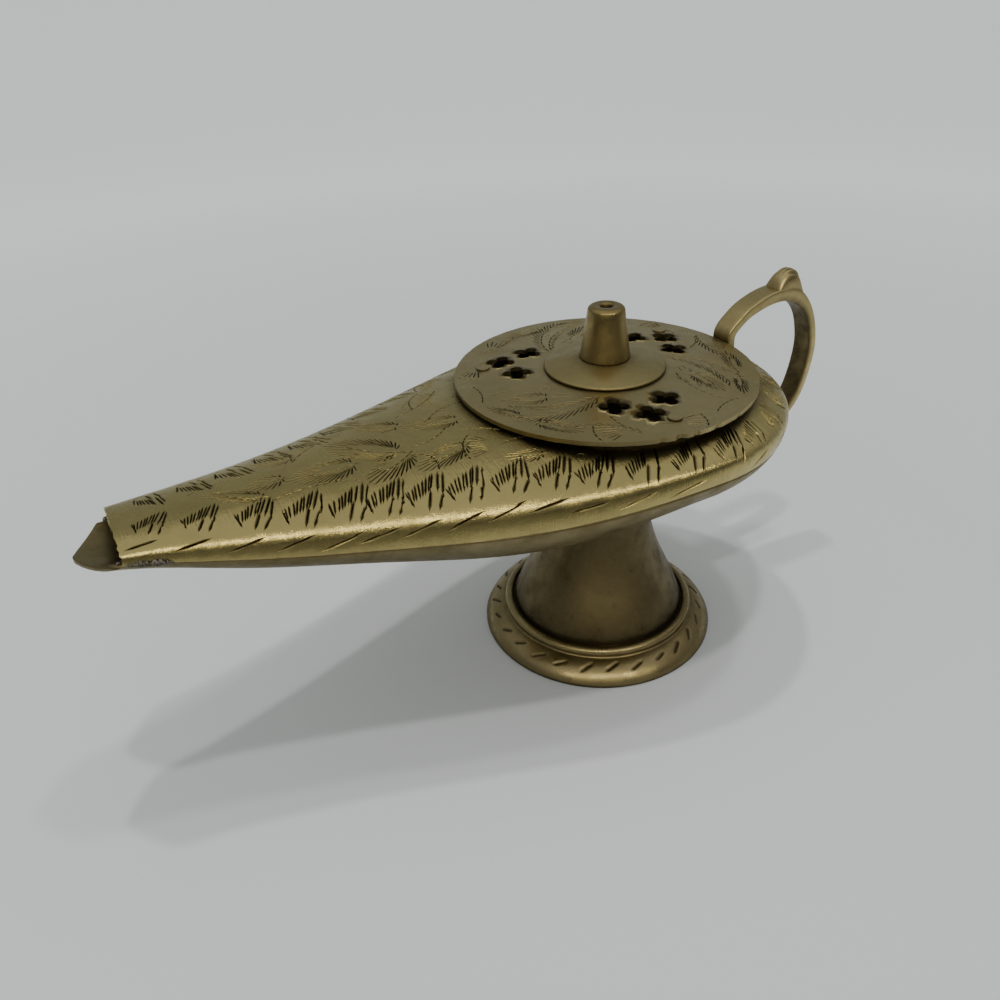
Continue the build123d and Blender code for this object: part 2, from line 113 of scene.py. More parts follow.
# lights and the plain pale room
studio = {
    "level": 0.085, "above": 0.56,  # the room's light from the walls and from overhead
    "climb": (0.05, 0.75),  # height shares of the room between which it grows
    "roomColor": (0.98, 1.0, 1.0), "backdrop": (0.53, 0.54, 0.54),
    "floor": 0.80, "floorRough": 0.6,
    "glow": (0.05, 0.42), "glowRun": (0.15, 0.7),  # how much paler the floor looks near and far, and where in m
    "dimFloor": (0.04, 0.20),  # distances in m towards the camera over which the floor dims in reflections
    "dimShare": 0.85, "dimColor": (0.05, 0.05, 0.05),
    "sweep": {"reach": 7.0, "flat": 0.9, "bend": 1.2, "top": 3.2},  # in m
    "lamps": [  # place in mm, size in mm, watts
        ((-101, -154, 730), 34, 0.92),
        ((-65, 68, 753), 34, 0.98),
        ((64, -48, 617), 40, 0.40),
    ],
    "lampAim": (-20, 0, 40),
    # a long window that shows only as a reflection along the shoulder: place, width and height in mm, watts
    "window": ((-330, -800, 645), (1500, 165), 3.9),
    "windowAim": (-40, 0, 60), "windowColor": (1.0, 0.92, 0.66),
}


def addNode(tree, kind, **settings):
    node = tree.nodes.new("ShaderNode" + kind)
    for key, value in settings.items():
        setattr(node, key, value)
    return node


def feed(socket, value):
    # a socket takes another node's output, a colour or a plain number
    if isinstance(value, bpy.types.NodeSocket):
        socket.id_data.links.new(value, socket)
    else:
        socket.default_value = (*value, 1) if isinstance(value, tuple) else value


def span(value, low, high, a=0.0, b=1.0):
    # a value between low and high moved to between a and b
    node = addNode(value.id_data, "MapRange")
    for key, number in zip(("Value", "From Min", "From Max", "To Min", "To Max"), (value, low, high, a, b)):
        feed(node.inputs[key], number)
    return node.outputs["Result"]


def reckon(kind, a, b):
    node = addNode(a.id_data, "Math", operation=kind, use_clamp=True)
    feed(node.inputs[0], a)
    feed(node.inputs[1], b)
    return node.outputs[0]


def times(a, b):
    return reckon("MULTIPLY", a, b)


def plus(a, b):
    return reckon("ADD", a, b)


def mixColor(factor, first, second):
    node = addNode(factor.id_data, "Mix", data_type="RGBA")
    feed(node.inputs["Factor"], factor)
    for key, value in (("A", first), ("B", second)):
        feed([i for i in node.inputs if i.name == key and i.type == "RGBA"][0], value)
    return [o for o in node.outputs if o.type == "RGBA"][0]


def newMaterial(name):
    mat = bpy.data.materials.new(name)
    mat.use_nodes = True
    return mat, mat.node_tree, mat.node_tree.nodes["Principled BSDF"]


def addLight(name, shape, place, size, watts, aim):
    data = bpy.data.lights.new(name, "AREA")
    data.shape, data.energy = shape, watts
    data.size, data.size_y = np.broadcast_to(size, 2) * mm
    obj = addObject(name, data)
    turn = (Vector(aim) - Vector(place)).to_track_quat("-Z", "Y").to_matrix().to_4x4()
    obj.matrix_world = Matrix.Translation(Vector(place) * mm) @ turn
    return obj


def makeRoom(s):
    # the world grows lighter upwards, and the camera sees a plain pale colour in its place
    world = bpy.data.worlds.new("paleRoom")
    bpy.context.scene.world = world
    world.use_nodes = True
    tree = world.node_tree
    split, room = addNode(tree, "SeparateXYZ"), tree.nodes["Background"]
    feed(split.inputs[0], addNode(tree, "TexCoord").outputs["Generated"])
    feed(room.inputs["Strength"], span(split.outputs["Z"], *s["climb"], s["level"], s["above"]))
    feed(room.inputs["Color"], s["roomColor"])
    pale, either, path = addNode(tree, "Background"), addNode(tree, "MixShader"), addNode(tree, "LightPath")
    feed(pale.inputs["Color"], s["backdrop"])
    for socket, value in zip(either.inputs, (path.outputs["Is Camera Ray"], room.outputs[0], pale.outputs[0])):
        feed(socket, value)
    feed(tree.nodes["World Output"].inputs["Surface"], either.outputs[0])


def makeFloor(s):
    # the floor runs back and rises as a smooth sweep, square to the camera's heading
    sweep = s["sweep"]
    bend = np.linspace(0, np.pi / 2, 14)[1:]
    level = np.linspace(-sweep["reach"], sweep["flat"], 18)
    end = sweep["flat"] + sweep["bend"]
    run = np.concatenate([level, sweep["flat"] + sweep["bend"] * np.sin(bend), [end]])
    rise = np.concatenate([np.zeros(len(level)), sweep["bend"] - sweep["bend"] * np.cos(bend), [sweep["top"]]])
    along = np.linspace(-sweep["reach"], sweep["reach"], 3)
    h = np.radians(camera["heading"])
    x = along[:, None] * np.cos(h) + run[None, :] * np.sin(h)
    y = -along[:, None] * np.sin(h) + run[None, :] * np.cos(h)
    points = np.stack([x, y, np.broadcast_to(rise, x.shape)], -1).reshape(-1, 3)
    mesh = bpy.data.meshes.new("sweep")
    mesh.from_pydata(points.tolist(), [], gridFaces(len(along), len(run)).tolist())
    mesh.shade_smooth()
    # it looks paler with distance to the camera, and darker towards the camera in reflections
    mat, tree, shader = newMaterial("paleFloor")
    shader.inputs["Roughness"].default_value = s["floorRough"]
    place, path = addNode(tree, "TexCoord").outputs["Object"], addNode(tree, "LightPath")
    ball = addNode(tree, "VectorMath", operation="LENGTH")
    before = addNode(tree, "VectorMath", operation="DOT_PRODUCT")
    before.inputs[1].default_value = (-np.sin(h), -np.cos(h), 0)
    feed(ball.inputs[0], place)
    feed(before.inputs[0], place)
    glow = span(ball.outputs["Value"], *s["glowRun"], *s["glow"])
    dim = span(before.outputs["Value"], *s["dimFloor"], 0.0, s["dimShare"])
    dimmed = times(dim, path.outputs["Is Glossy Ray"])
    color = (s["floor"] * 0.98, s["floor"] * 1.01, s["floor"])
    feed(shader.inputs["Base Color"], mixColor(dimmed, color, s["dimColor"]))
    shader.inputs["Emission Color"].default_value = (0.97, 1.0, 1.0, 1)
    feed(shader.inputs["Emission Strength"], times(glow, path.outputs["Is Camera Ray"]))
    mesh.materials.append(mat)
    addObject("sweep", mesh)


def gridFaces(rows, cols, closeRows=False, closeCols=False, flip=False):
    # four corners of each cell of a grid numbered row by row
    i = np.arange(rows if closeRows else rows - 1)
    j = np.arange(cols if closeCols else cols - 1)
    i, j = np.meshgrid(i, j, indexing="ij")
    i2, j2 = (i + 1) % rows, (j + 1) % cols
    quads = np.stack([i * cols + j, i2 * cols + j, i2 * cols + j2, i * cols + j2], -1).reshape(-1, 4)
    return quads[:, ::-1] if flip else quads


makeRoom(studio)
makeFloor(studio)
for index, lamp in enumerate(studio["lamps"]):
    addLight(f"softLamp{index}", "DISK", *lamp, studio["lampAim"]).visible_glossy = False
window = addLight("window", "RECTANGLE", *studio["window"], studio["windowAim"])
window.data.color = studio["windowColor"]
window.visible_diffuse = False
print("camera and studio done")


def outwards(mesh):
    # faces made to point out of the closed shape
    form = bmesh.new()
    form.from_mesh(mesh)
    bmesh.ops.recalc_face_normals(form, faces=form.faces)
    form.to_mesh(mesh)
    form.free()


def toObject(name, points, faces, finish, replaces=(), body="lamp", groove=None, normals=None):
    # points in mm become a mesh object that rides on its body
    mesh = bpy.data.meshes.new(name)
    points = np.reshape(points, (-1, 3)) * mm
    mesh.from_pydata(points.tolist(), [], [list(map(int, f)) for f in faces])
    mesh.shade_smooth()
    if groove is not None:
        dark = mesh.attributes.new("groove", "FLOAT", "POINT")
        dark.data.foreach_set("value", np.asarray(groove, np.float32).ravel())
    mesh.materials.append(finishes[finish])
    if normals is None:
        outwards(mesh)
    else:
        mesh.normals_split_custom_set(normals.tolist())
    obj = addObject(name, mesh)
    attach(obj, body)
    if replaces:
        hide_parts(*replaces)


def carriedRound(turn, r, z):
    # a profile of radius and height, carried to each turn about the upright axis
    x, y = np.cos(turn)[:, None], np.sin(turn)[:, None]
    return np.stack([x * r, y * r, np.broadcast_to(z, (len(turn), len(r)))], -1)


def turnedPiece(name, s, finish, replaces, body="lamp"):
    count, profile = s["around"], np.array(s["profile"], float)
    points = carriedRound(np.arange(count) / count * 2 * np.pi, *profile.T)
    faces = gridFaces(count, len(profile), closeRows=True, closeCols=True)
    toObject(name, points, faces, finish, replaces, body)


def capped(points):
    # faces of a row of closed rings, with one face over each end
    rows, cols = points.shape[:2]
    ends = np.arange(cols)
    last = (rows - 1) * cols + ends
    return gridFaces(rows, cols, closeCols=True).tolist() + [ends.tolist(), last[::-1].tolist()]


def smoothThrough(xs, ys):
    # a cubic spline through the points, level at its first end and straight at its last
    xs, ys = np.asarray(xs, float), np.asarray(ys, float)
    n, h = len(xs), np.diff(xs)
    a = np.zeros((n, n))
    b = np.zeros(n)
    a[0, 0], a[0, 1], b[0] = 2 * h[0], h[0], 6 * (ys[1] - ys[0]) / h[0]
    a[-1, -1] = 1
    for k in range(1, n - 1):
        a[k, k - 1 : k + 2] = h[k - 1], 2 * (h[k - 1] + h[k]), h[k]
        b[k] = 6 * ((ys[k + 1] - ys[k]) / h[k] - (ys[k] - ys[k - 1]) / h[k - 1])
    m = np.linalg.solve(a, b)

    def value(x):
        k = np.clip(np.searchsorted(xs, x) - 1, 0, n - 2)
        p, q = x - xs[k], xs[k + 1] - x
        w = h[k]
        y = (m[k] * q**3 + m[k + 1] * p**3) / (6 * w) + (ys[k] / w - m[k] * w / 6) * q
        y = y + (ys[k + 1] / w - m[k + 1] * w / 6) * p
        slope = (-m[k] * q**2 + m[k + 1] * p**2) / (2 * w) + (ys[k + 1] - ys[k]) / w - (m[k + 1] - m[k]) * w / 6
        return y, slope

    return value


# bowl and spout: sections square to the spout, the back half round about the widest place
bowl = {
    "widestX": 3.8, "spoutX": -146.1, "mouthX": -136.0, "lipX": -145.1, "lipHalfWidth": 11.6,
    "crownPower": 2.5, "keelPower": 1.942, "wall": 1.5,
    # sizes of a section at shares of the way from the widest place to the spout's end
    "share": (0.0, 0.18, 0.36, 0.56, 0.77, 0.94, 1.0),
    "halfWidth": (49.2, 45.5, 37.5, 27.0, 17.4, 11.65, 10.2),
    "crown": (9.6, 11.2, 12.4, 11.0, 7.9, 4.05, 3.3),
    "depth": (23.9, 25.3, 22.1, 15.05, 9.7, 5.15, 3.95),
    "widestZ": (77.7, 75.55, 73.4, 73.6, 76.3, 80.1, 80.6),
    "seamZ": (74.3, 72.4, 70.8, 71.8, 75.1, 79.3, 79.9),
}
sizeCurves = {k: smoothThrough(bowl["share"], bowl[k]) for k in ("halfWidth", "crown", "depth", "widestZ", "seamZ")}
spoutRun = bowl["widestX"] - bowl["spoutX"]


def sectionSizes(x):
    # each size of a section and its slope along X
    share = np.clip((bowl["widestX"] - np.asarray(x, float)) / spoutRun, 0, 1)
    out = {}
    for key, curve in sizeCurves.items():
        value, slope = curve(share)
        out[key] = value
        out[key + "Slope"] = np.where(share > 0, -slope / spoutRun, 0.0)
    return out


def arcAngles(s, part, inset, count=80):
    # angles along half a section, and the length reached at each:
    # upper runs from the crown over the widest line to the seam, lower from the keel to the seam
    seam = np.arcsin(np.clip((s["widestZ"] - s["seamZ"]) / (s["depth"] - inset), 1e-6, 1) ** (bowl["keelPower"] / 2))
    t = np.linspace(0, 1, count)
    if part == "upper":
        angle = np.pi / 2 - t[None, :] * (np.pi / 2 + seam[:, None])
    else:
        angle = -np.pi / 2 + t[None, :] * (np.pi / 2 - seam[:, None])
    r, z = sectionCurve(s, angle, inset)
    length = np.concatenate([np.zeros((len(r), 1)), np.cumsum(np.hypot(np.diff(r), np.diff(z)), 1)], 1)
    return angle, length


def sectionCurve(s, angle, inset):
    # superellipse: half width times cos to the 2/power, height times sin to the 2/power
    up = angle >= 0
    power = np.where(up, bowl["crownPower"], bowl["keelPower"])
    column = lambda v: v[:, None] if angle.ndim == 2 else v
    height = np.where(up, column(s["crown"] - inset), -column(s["depth"] - inset))
    r = column(s["halfWidth"] - inset) * np.abs(np.cos(angle)) ** (2 / power)
    z = column(s["widestZ"]) + height * np.abs(np.sin(angle)) ** (2 / power)
    return r, z


def alongRows(wanted, keys, values):
    # each row's value at the place where its rising keys reach the wanted one, in straight steps
    k = np.clip((keys < wanted[:, None]).sum(1) - 1, 0, keys.shape[1] - 2)
    row = np.arange(len(k))
    step = (wanted - keys[row, k]) / np.maximum(keys[row, k + 1] - keys[row, k], 1e-9)
    return values[row, k] + step * (values[row, k + 1] - values[row, k])


def bodyPoint(x, share, side, part, inset=0.0, turn=None):
    # a point of the body and its outward normal: place along X, share of the half section's length,
    # side -1 or 1, or for the round back the turn about the widest place
    s = sectionSizes(x)
    angles, lengths = arcAngles(s, part, inset)
    angle = alongRows(share * lengths[:, -1], lengths, angles)
    r, z = sectionCurve(s, angle, inset)
    up = angle >= 0
    sign = np.where(up, 1.0, -1.0)
    n = np.where(up, bowl["crownPower"], bowl["keelPower"])
    w, h = s["halfWidth"] - inset, np.where(up, s["crown"] - inset, s["depth"] - inset)
    hSlope = np.where(up, s["crownSlope"], s["depthSlope"])
    p, q = np.clip(r / w, 0, None), np.clip(sign * (z - s["widestZ"]) / h, 0, None)
    # the normal is the gradient of p^n + q^n, across, upwards and along
    nr, nz = n / w * p ** (n - 1), sign * n / h * q ** (n - 1)
    nx = -n * p**n * s["halfWidthSlope"] / w - sign * n * q ** (n - 1) * s["widestZSlope"] / h - n * q**n * hSlope / h
    if turn is None:
        point, normal = (x, side * r, z), (nx, side * nr, nz)
    else:
        c, k = np.cos(turn), np.sin(turn)
        point, normal = (bowl["widestX"] + r * c, r * k, z), (nr * c, nr * k, nz)
    return np.stack(point, -1), unit(np.stack(normal, -1))


lengthGrid = np.linspace(bowl["spoutX"], bowl["widestX"], 300)
lengthAt = {part: arcAngles(sectionSizes(lengthGrid), part, 0.0)[1][:, -1] for part in ("upper", "lower")}


def halfLength(x, part):
    # length of half a section from crown or keel to the seam
    return np.interp(x, lengthGrid, lengthAt[part])


def sheetPoint(flat, part="upper", inset=0.0):
    # the body unrolled: flat X stays, flat Y is the length over the crown, and the back is a half disc
    x, y = flat[:, 0], flat[:, 1]
    cx = bowl["widestX"]
    reach = np.where(x > cx, np.hypot(x - cx, y), np.abs(y))
    share = np.clip(reach / halfLength(np.minimum(x, cx), part), 0, 1)
    front, nf = bodyPoint(np.minimum(x, cx), share, np.where(y < 0, -1.0, 1.0), part, inset)
    back, nb = bodyPoint(np.full(len(x), cx), share, 1.0, part, inset, turn=np.arctan2(y, x - cx))
    isBack = (x > cx)[:, None]
    return np.where(isBack, back, front), np.where(isBack, nb, nf)


def flatPlace(plan):
    # the unrolled place of a point of the crown seen from above
    x, y = plan[:, 0], plan[:, 1]
    cx = bowl["widestX"]
    s = sectionSizes(np.minimum(x, cx))
    r = np.where(x > cx, np.hypot(x - cx, y), np.abs(y))
    angle = np.arccos(np.clip(r / s["halfWidth"], 0, 1) ** (bowl["crownPower"] / 2))
    angles, lengths = arcAngles(s, "upper", 0.0)
    reach = alongRows(-angle, -angles, lengths)
    scale = np.where(r > 1e-9, reach / np.maximum(r, 1e-9), 1.0)
    return np.stack([np.where(x > cx, cx + (x - cx) * scale, x), y * scale], -1)


def inside(points, loop):
    # crossing test of many points against one closed outline
    x, y = points[:, 0][:, None], points[:, 1][:, None]
    x1, y1 = loop[:, 0][None, :], loop[:, 1][None, :]
    x2, y2 = np.roll(loop[:, 0], -1)[None, :], np.roll(loop[:, 1], -1)[None, :]
    crosses = (y1 > y) != (y2 > y)
    at = x1 + (y - y1) * (x2 - x1) / np.where(y2 == y1, 1e-12, y2 - y1)
    return (crosses & (x < at)).sum(1) % 2 == 1


# shares of a cut where it has reached its depth and where it rises again
cutShape = {"full": 0.26, "lift": 0.80}


def onSheet(points, loops):
    # which points lie inside the first outline and outside the others
    keep = inside(points, loops[0])
    for loop in loops[1:]:
        keep &= ~inside(points, loop)
    return keep


def clearOf(points, loops, margin):
    # which points lie further than a margin from every outline
    gaps = [np.sqrt(((points[:, None] - loop[None]) ** 2).sum(-1)).min(1) for loop in loops]
    return np.min(gaps, 0) > margin


def cutPieces(cuts):
    # each cut is a graver's groove: two ends, two shoulders on each side and a deepest line between them
    # cuts: x0, y0, x1, y1, width, depth
    cuts = np.asarray(cuts, float)
    a, b = cuts[:, 0:2], cuts[:, 2:4]
    along = b - a
    across = unit(np.stack([-along[:, 1], along[:, 0]], -1)) * cuts[:, 4:5] / 2
    full, lift = a + along * cutShape["full"], a + along * cutShape["lift"]
    points = np.stack([a, full + across, lift + across, b, lift - across, full - across, full, lift], 1)
    depth = np.zeros(points.shape[:2])
    depth[:, 6:] = cuts[:, 5:6]
    base = (np.arange(len(cuts)) * 8)[:, None, None]
    around = [[0, 1], [1, 2], [2, 3], [3, 4], [4, 5], [5, 0]]
    edges = np.array(around + [[0, 6], [6, 7], [7, 3], [1, 6], [6, 5], [2, 7], [7, 4]])[None] + base
    return points.reshape(-1, 2), depth.reshape(-1), edges.reshape(-1, 2)


def depthOfCuts(points, cuts):
    # depth of the deepest groove over each point: falls from its deepest line to both ends and to both sides
    cuts = np.asarray(cuts, float)
    a, b = cuts[:, 0:2], cuts[:, 2:4]
    along = b - a
    length = np.linalg.norm(along, axis=1)
    way = along / length[:, None]
    rel = points[:, None, :] - a[None]
    s = (rel * way[None]).sum(-1) / length[None]
    t = np.abs(rel[..., 0] * way[None, :, 1] - rel[..., 1] * way[None, :, 0])
    rise = np.clip(np.minimum(s / cutShape["full"], (1 - s) / (1 - cutShape["lift"])), 0, 1)
    fall = np.clip(1 - t / np.maximum(rise * cuts[None, :, 4] / 2, 1e-6), 0, 1)
    return (rise * fall * cuts[None, :, 5]).max(1)


def triangulate(loops, grid, cuts=None):
    # outlines, cuts and loose grid points become one sheet of triangles in the flat
    points, edges, rim = list(loops), [], 0
    for loop in loops:
        k = np.arange(len(loop))
        edges.append(np.stack([k, (k + 1) % len(loop)], -1) + rim)
        rim += len(loop)
    depth = [np.zeros(rim)]
    if cuts is not None:
        cutPoints, cutDepth, cutEdges = cutPieces(cuts)
        points.append(cutPoints)
        depth.append(cutDepth)
        edges.append(cutEdges + rim)
    points, edges = np.concatenate([*points, grid]), np.concatenate(edges)
    depth = np.concatenate([*depth, np.zeros(len(grid))])
    verts, _, faces, sources, _, _ = delaunay_2d_cdt([Vector(p) for p in points.tolist()], edges.tolist(), [], 0, 1e-5)
    flat, faces = np.array([tuple(v) for v in verts]), np.array([tuple(f) for f in faces])
    # a point where cuts cross is new, and takes the depth of the deepest
    deep = np.array([max((depth[k] for k in source), default=-1.0) for source in sources])
    if cuts is not None and (deep < 0).any():
        deep[deep < 0] = depthOfCuts(flat[deep < 0], cuts)
    faces = faces[onSheet(flat[faces].mean(1), loops)]
    edge1, edge2 = flat[faces[:, 1]] - flat[faces[:, 0]], flat[faces[:, 2]] - flat[faces[:, 0]]
    area = edge1[:, 0] * edge2[:, 1] - edge1[:, 1] * edge2[:, 0]
    faces[area < 0] = faces[area < 0][:, ::-1]
    rimIndex = np.zeros(rim, int)
    for k, source in enumerate(sources):
        for v in source:
            if v < rim:
                rimIndex[v] = k
    return flat, faces[np.abs(area) > 1e-9], np.maximum(deep, 0), rimIndex


def engravedSheet(name, loops, grid, cuts, surface, under, finish, replaces, body="lamp"):
    # the outside with its cuts, the inside, and a wall along every outline
    flat, faces, deep, rim = triangulate(loops, grid, cuts)
    point, normal = surface(flat)
    point = point - normal * deep[:, None]
    flat2, faces2, _, rim2 = triangulate(loops, grid)
    point2, normal2 = under(flat2)
    wall, at = [], 0
    for loop in loops:
        k = np.arange(len(loop))
        ahead = (k + 1) % len(loop)
        outer, inner = rim[at + k], rim2[at + k] + len(point)
        wall.append(np.stack([outer, inner, inner[ahead], outer[ahead]], -1))
        at += len(loop)
    wall = np.concatenate(wall)
    points, inner = np.concatenate([point, point2]), faces2[:, ::-1]
    every = faces.tolist() + (inner + len(point)).tolist() + wall.tolist()
    # plain faces shade with the smooth surface's normal, cut faces and walls with their own
    cutFace = (deep[faces] > 1e-4).any(1)
    own = unit(np.cross(point[faces[:, 1]] - point[faces[:, 0]], point[faces[:, 2]] - point[faces[:, 0]]))
    outerNormals = np.where(cutFace[:, None, None], own[:, None, :], normal[faces])
    p = points[wall]
    wallNormals = np.repeat(unit(np.cross(p[:, 2] - p[:, 0], p[:, 3] - p[:, 1]))[:, None, :], 4, 1)
    normals = np.concatenate([n.reshape(-1, 3) for n in (outerNormals, -normal2[inner], wallNormals)])
    groove = np.concatenate([np.clip(deep / 0.2, 0, 1), np.zeros(len(point2))])
    toObject(name, points, every, finish, replaces, body, groove, normals)


# metals: aged brass, with bright places, brown oxide in hollows and a fine handled grain
patina = (0.030, 0.022, 0.012)  # lies in cuts and hollows
wear = {
    # noise scale, detail and roughness, and the values between which it is spread
    "broad": (22, 3, 0.55, 0.35, 0.65), "mottle": (160, 5, 0.65, 0.36, 0.66), "spots": (330, 6, 0.7, 0.60, 0.72),
    "fine": (1500, 3, 0.6),
    "mottleShare": 0.55, "spotShare": 0.6, "hollowShare": 0.75, "grooveShare": 0.74, "roughShare": 0.22,
    "grainShare": 0.6,
    "hollowReach": 0.006, "grainHeight": 0.0003,  # in m
}


def brass(name, tones, scale=1.0, rough=(0.30, 0.52), oxide=0.35, bump=0.12, grain=(1, 1, 1)):
    # tones are two linear colours of the sound metal
    mat, tree, shader = newMaterial(name)
    shader.inputs["Metallic"].default_value = 1.0
    place, stretch = addNode(tree, "TexCoord").outputs["Object"], addNode(tree, "Mapping")
    stretch.inputs["Scale"].default_value = grain
    feed(stretch.inputs["Vector"], place)

    def noise(frequency, detail, roughness, vector=place):
        node = addNode(tree, "TexNoise")
        settings = {"Scale": frequency * scale, "Detail": detail, "Roughness": roughness, "Vector": vector}
        for key, value in settings.items():
            feed(node.inputs[key], value)
        return node.outputs["Fac"]

    broad, mottle, spots = [span(noise(*wear[k][:3]), *wear[k][3:]) for k in ("broad", "mottle", "spots")]
    fine = noise(*wear["fine"], stretch.outputs["Vector"])
    groove = addNode(tree, "Attribute", attribute_name="groove").outputs["Fac"]
    around = addNode(tree, "AmbientOcclusion", samples=6)
    around.inputs["Distance"].default_value = wear["hollowReach"]
    hollow = span(around.outputs["AO"], 0.45, 0.95, 1.0, 0.0)
    # stain gathers in mottles and spots, in hollows and in cuts; the groove attribute also makes the foot's neck and
    # the handle's inner side darker
    stain = times(mottle, wear["mottleShare"])
    stain = times(plus(stain, times(spots, wear["spotShare"])), oxide)
    for value, share in ((hollow, "hollowShare"), (groove, "grooveShare")):
        stain = plus(stain, times(value, wear[share]))
    feed(shader.inputs["Base Color"], mixColor(stain, mixColor(broad, *tones), patina))
    dull = times(stain, wear["roughShare"])
    feed(shader.inputs["Roughness"], plus(span(mottle, 0, 1, *rough), dull))
    height = addNode(tree, "Bump")
    for key, value in (("Strength", bump), ("Distance", wear["grainHeight"])):
        feed(height.inputs[key], value)
    feed(height.inputs["Height"], plus(times(fine, wear["grainShare"]), times(mottle, 1 - wear["grainShare"])))
    feed(shader.inputs["Normal"], height.outputs["Normal"])
    return mat


finishes = {
    "upper": brass(
        "engravedBrass", ((0.61, 0.505, 0.205), (0.50, 0.41, 0.165)), oxide=0.2, rough=(0.17, 0.29), bump=0.7,
        grain=(1.8, 0.05, 0.05),
    ),
    "lower": brass("bowlBrass", ((0.32, 0.27, 0.14), (0.24, 0.19, 0.085)), oxide=0.4),
    "lid": brass("lidBrass", ((0.56, 0.47, 0.24), (0.47, 0.39, 0.185)), rough=(0.26, 0.40), oxide=0.22),
    "plate": brass("knobPlateBrass", ((0.48, 0.40, 0.19), (0.39, 0.32, 0.14)), oxide=0.22),
    "knob": brass("knobBrass", ((0.42, 0.33, 0.145), (0.33, 0.25, 0.10)), rough=(0.26, 0.42), oxide=0.2),
    "foot": brass("footBrass", ((0.39, 0.32, 0.16), (0.29, 0.23, 0.11)), oxide=0.28, rough=(0.24, 0.4)),
    "handle": brass("handleBrass", ((0.64, 0.52, 0.25), (0.52, 0.42, 0.18)), oxide=0.3, rough=(0.24, 0.42)),
    "solder": brass("oldSolder", ((0.30, 0.27, 0.21), (0.20, 0.18, 0.13)), scale=2.5, rough=(0.5, 0.7), bump=0.5),
    "paleSolder": brass("paleSolder", ((0.66, 0.64, 0.58), (0.46, 0.42, 0.33)), scale=4, rough=(0.45, 0.6), bump=0.8),
    "fastener": brass("fastenerBrass", ((0.42, 0.33, 0.16), (0.36, 0.28, 0.13)), rough=(0.25, 0.4)),
}
print("finishes done")

# the upper shell is cut open for the lid and carries a collar
opening = {"radius": 38.5, "points": 220}


def circle(radius, count):
    return radius * towards(np.arange(count) / count * 2 * np.pi)


def shellOutline(part, fromX, spacing):
    # the unrolled outline: +Y side, round back, -Y side, and the ragged edge across the spout's end
    cx = bowl["widestX"]
    x = np.linspace(fromX, cx, int((cx - fromX) / spacing))
    side = np.stack([x, halfLength(x, part)], -1)
    reach = halfLength(cx, part)
    turn = np.linspace(np.pi / 2, -np.pi / 2, int(np.pi * reach / spacing))[1:-1]
    back = (cx, 0) + reach * towards(turn)
    other = side[::-1] * (1, -1)
    across = np.linspace(-1, 1, 34)[1:-1] * halfLength(fromX, part)
    ragged = fromX + 0.35 * np.abs(np.sin(across * 1.9 + 0.6)) + 0.25 * np.sin(across * 4.3) ** 2
    return np.concatenate([side, back, other, np.stack([ragged, across], -1)])[::-1]


def sheetGrid(loops, spacing, margin=0.6):
    # a staggered net of points inside the first outline and outside the others
    low, high = loops[0].min(0), loops[0].max(0)
    x = np.arange(low[0], high[0], spacing)
    y = np.arange(low[1], high[1], spacing * 0.866)
    gx, gy = np.meshgrid(x, y)
    gx = gx + np.where(np.arange(len(y)) % 2 == 0, 0, spacing / 2)[:, None]
    grid = np.stack([gx.ravel(), gy.ravel()], -1)
    grid = grid[onSheet(grid, loops)]
    return grid[clearOf(grid, loops, margin)]


# engraving: every mark is a V-shaped groove, given by its two ends, width and depth on the unrolled sheet
graver = {
    "leafPitch": 1.42,  # between a leaf's strokes at its edge
    # width and depth
    "leaf": (0.52, 0.27), "rib": (0.46, 0.25), "spray": (0.45, 0.24), "fan": (0.48, 0.26), "fanEdge": (0.5, 0.28),
    "stem": (0.5, 0.26), "line": (0.42, 0.24), "fill": (0.5, 0.14), "spoutDash": (0.6, 0.13), "lidDash": (0.5, 0.13),
    "ring": (0.4, 0.2), "longStroke": (0.9, 0.36),
}


def placed(cuts, origin, along, size=1.0, flip=1.0):
    # cuts drawn about (0, 0) moved to a place, turned to a direction, sized, and mirrored over that direction
    cuts = np.array(cuts, float)
    c, s = np.cos(along), np.sin(along)
    for k in (0, 2):
        u, v = cuts[:, k] * size, cuts[:, k + 1] * size * flip
        cuts[:, k], cuts[:, k + 1] = origin[0] + c * u - s * v, origin[1] + s * u + c * v
    cuts[:, 4] *= size
    return cuts


def cutRows(start, end, width, depth):
    return np.concatenate([start, end, np.full((len(start), 1), width), np.full((len(start), 1), depth)], 1)


def comb(count=8):
    # a row of slim cuts that climbs and lengthens to the right, closed by broad dark leaf cuts
    k = np.arange(count)
    j = rng.normal(0, 0.15, (count, 4))
    x0, y0 = -3.9 + 0.68 * k + j[:, 0], -3.9 + 0.34 * k + j[:, 1]
    x1, y1 = -4.5 + 0.98 * k + j[:, 2], -0.1 + 0.84 * k - 0.02 * k**2 + j[:, 3]
    slim = np.stack([x0, y0, x1, y1, 0.56 + 0.015 * k, 0.26 + 0.010 * k], -1)
    broad = np.array([
        (2.2, -2.2, 3.4, 5.3, 0.9, 0.36), (3.4, -3.4, 4.4, 4.2, 0.8, 0.34), (-0.2, -6.0, 1.1, -0.5, 1.05, 0.38),
        (2.2, -6.0, 3.6, -1.7, 1.0, 0.38), (-5.2, -0.4, -3.5, -4.7, 0.7, 0.32),
    ])
    broad[:, :4] += rng.normal(0, 0.22, (len(broad), 4))
    return np.concatenate([slim, broad])


def longStroke():
    # one slanted stroke, slim at its start and deep where the graver was lifted out
    return np.array([(-7.0, -11.5, 3.0, -8.4, *graver["longStroke"])]) + np.append(rng.normal(0, 0.3, 4), [0, 0])


def chain(points, width, depth):
    # a curved line made of short joined cuts
    points = np.asarray(points, float)
    return cutRows(points[:-1], points[1:], width, depth)


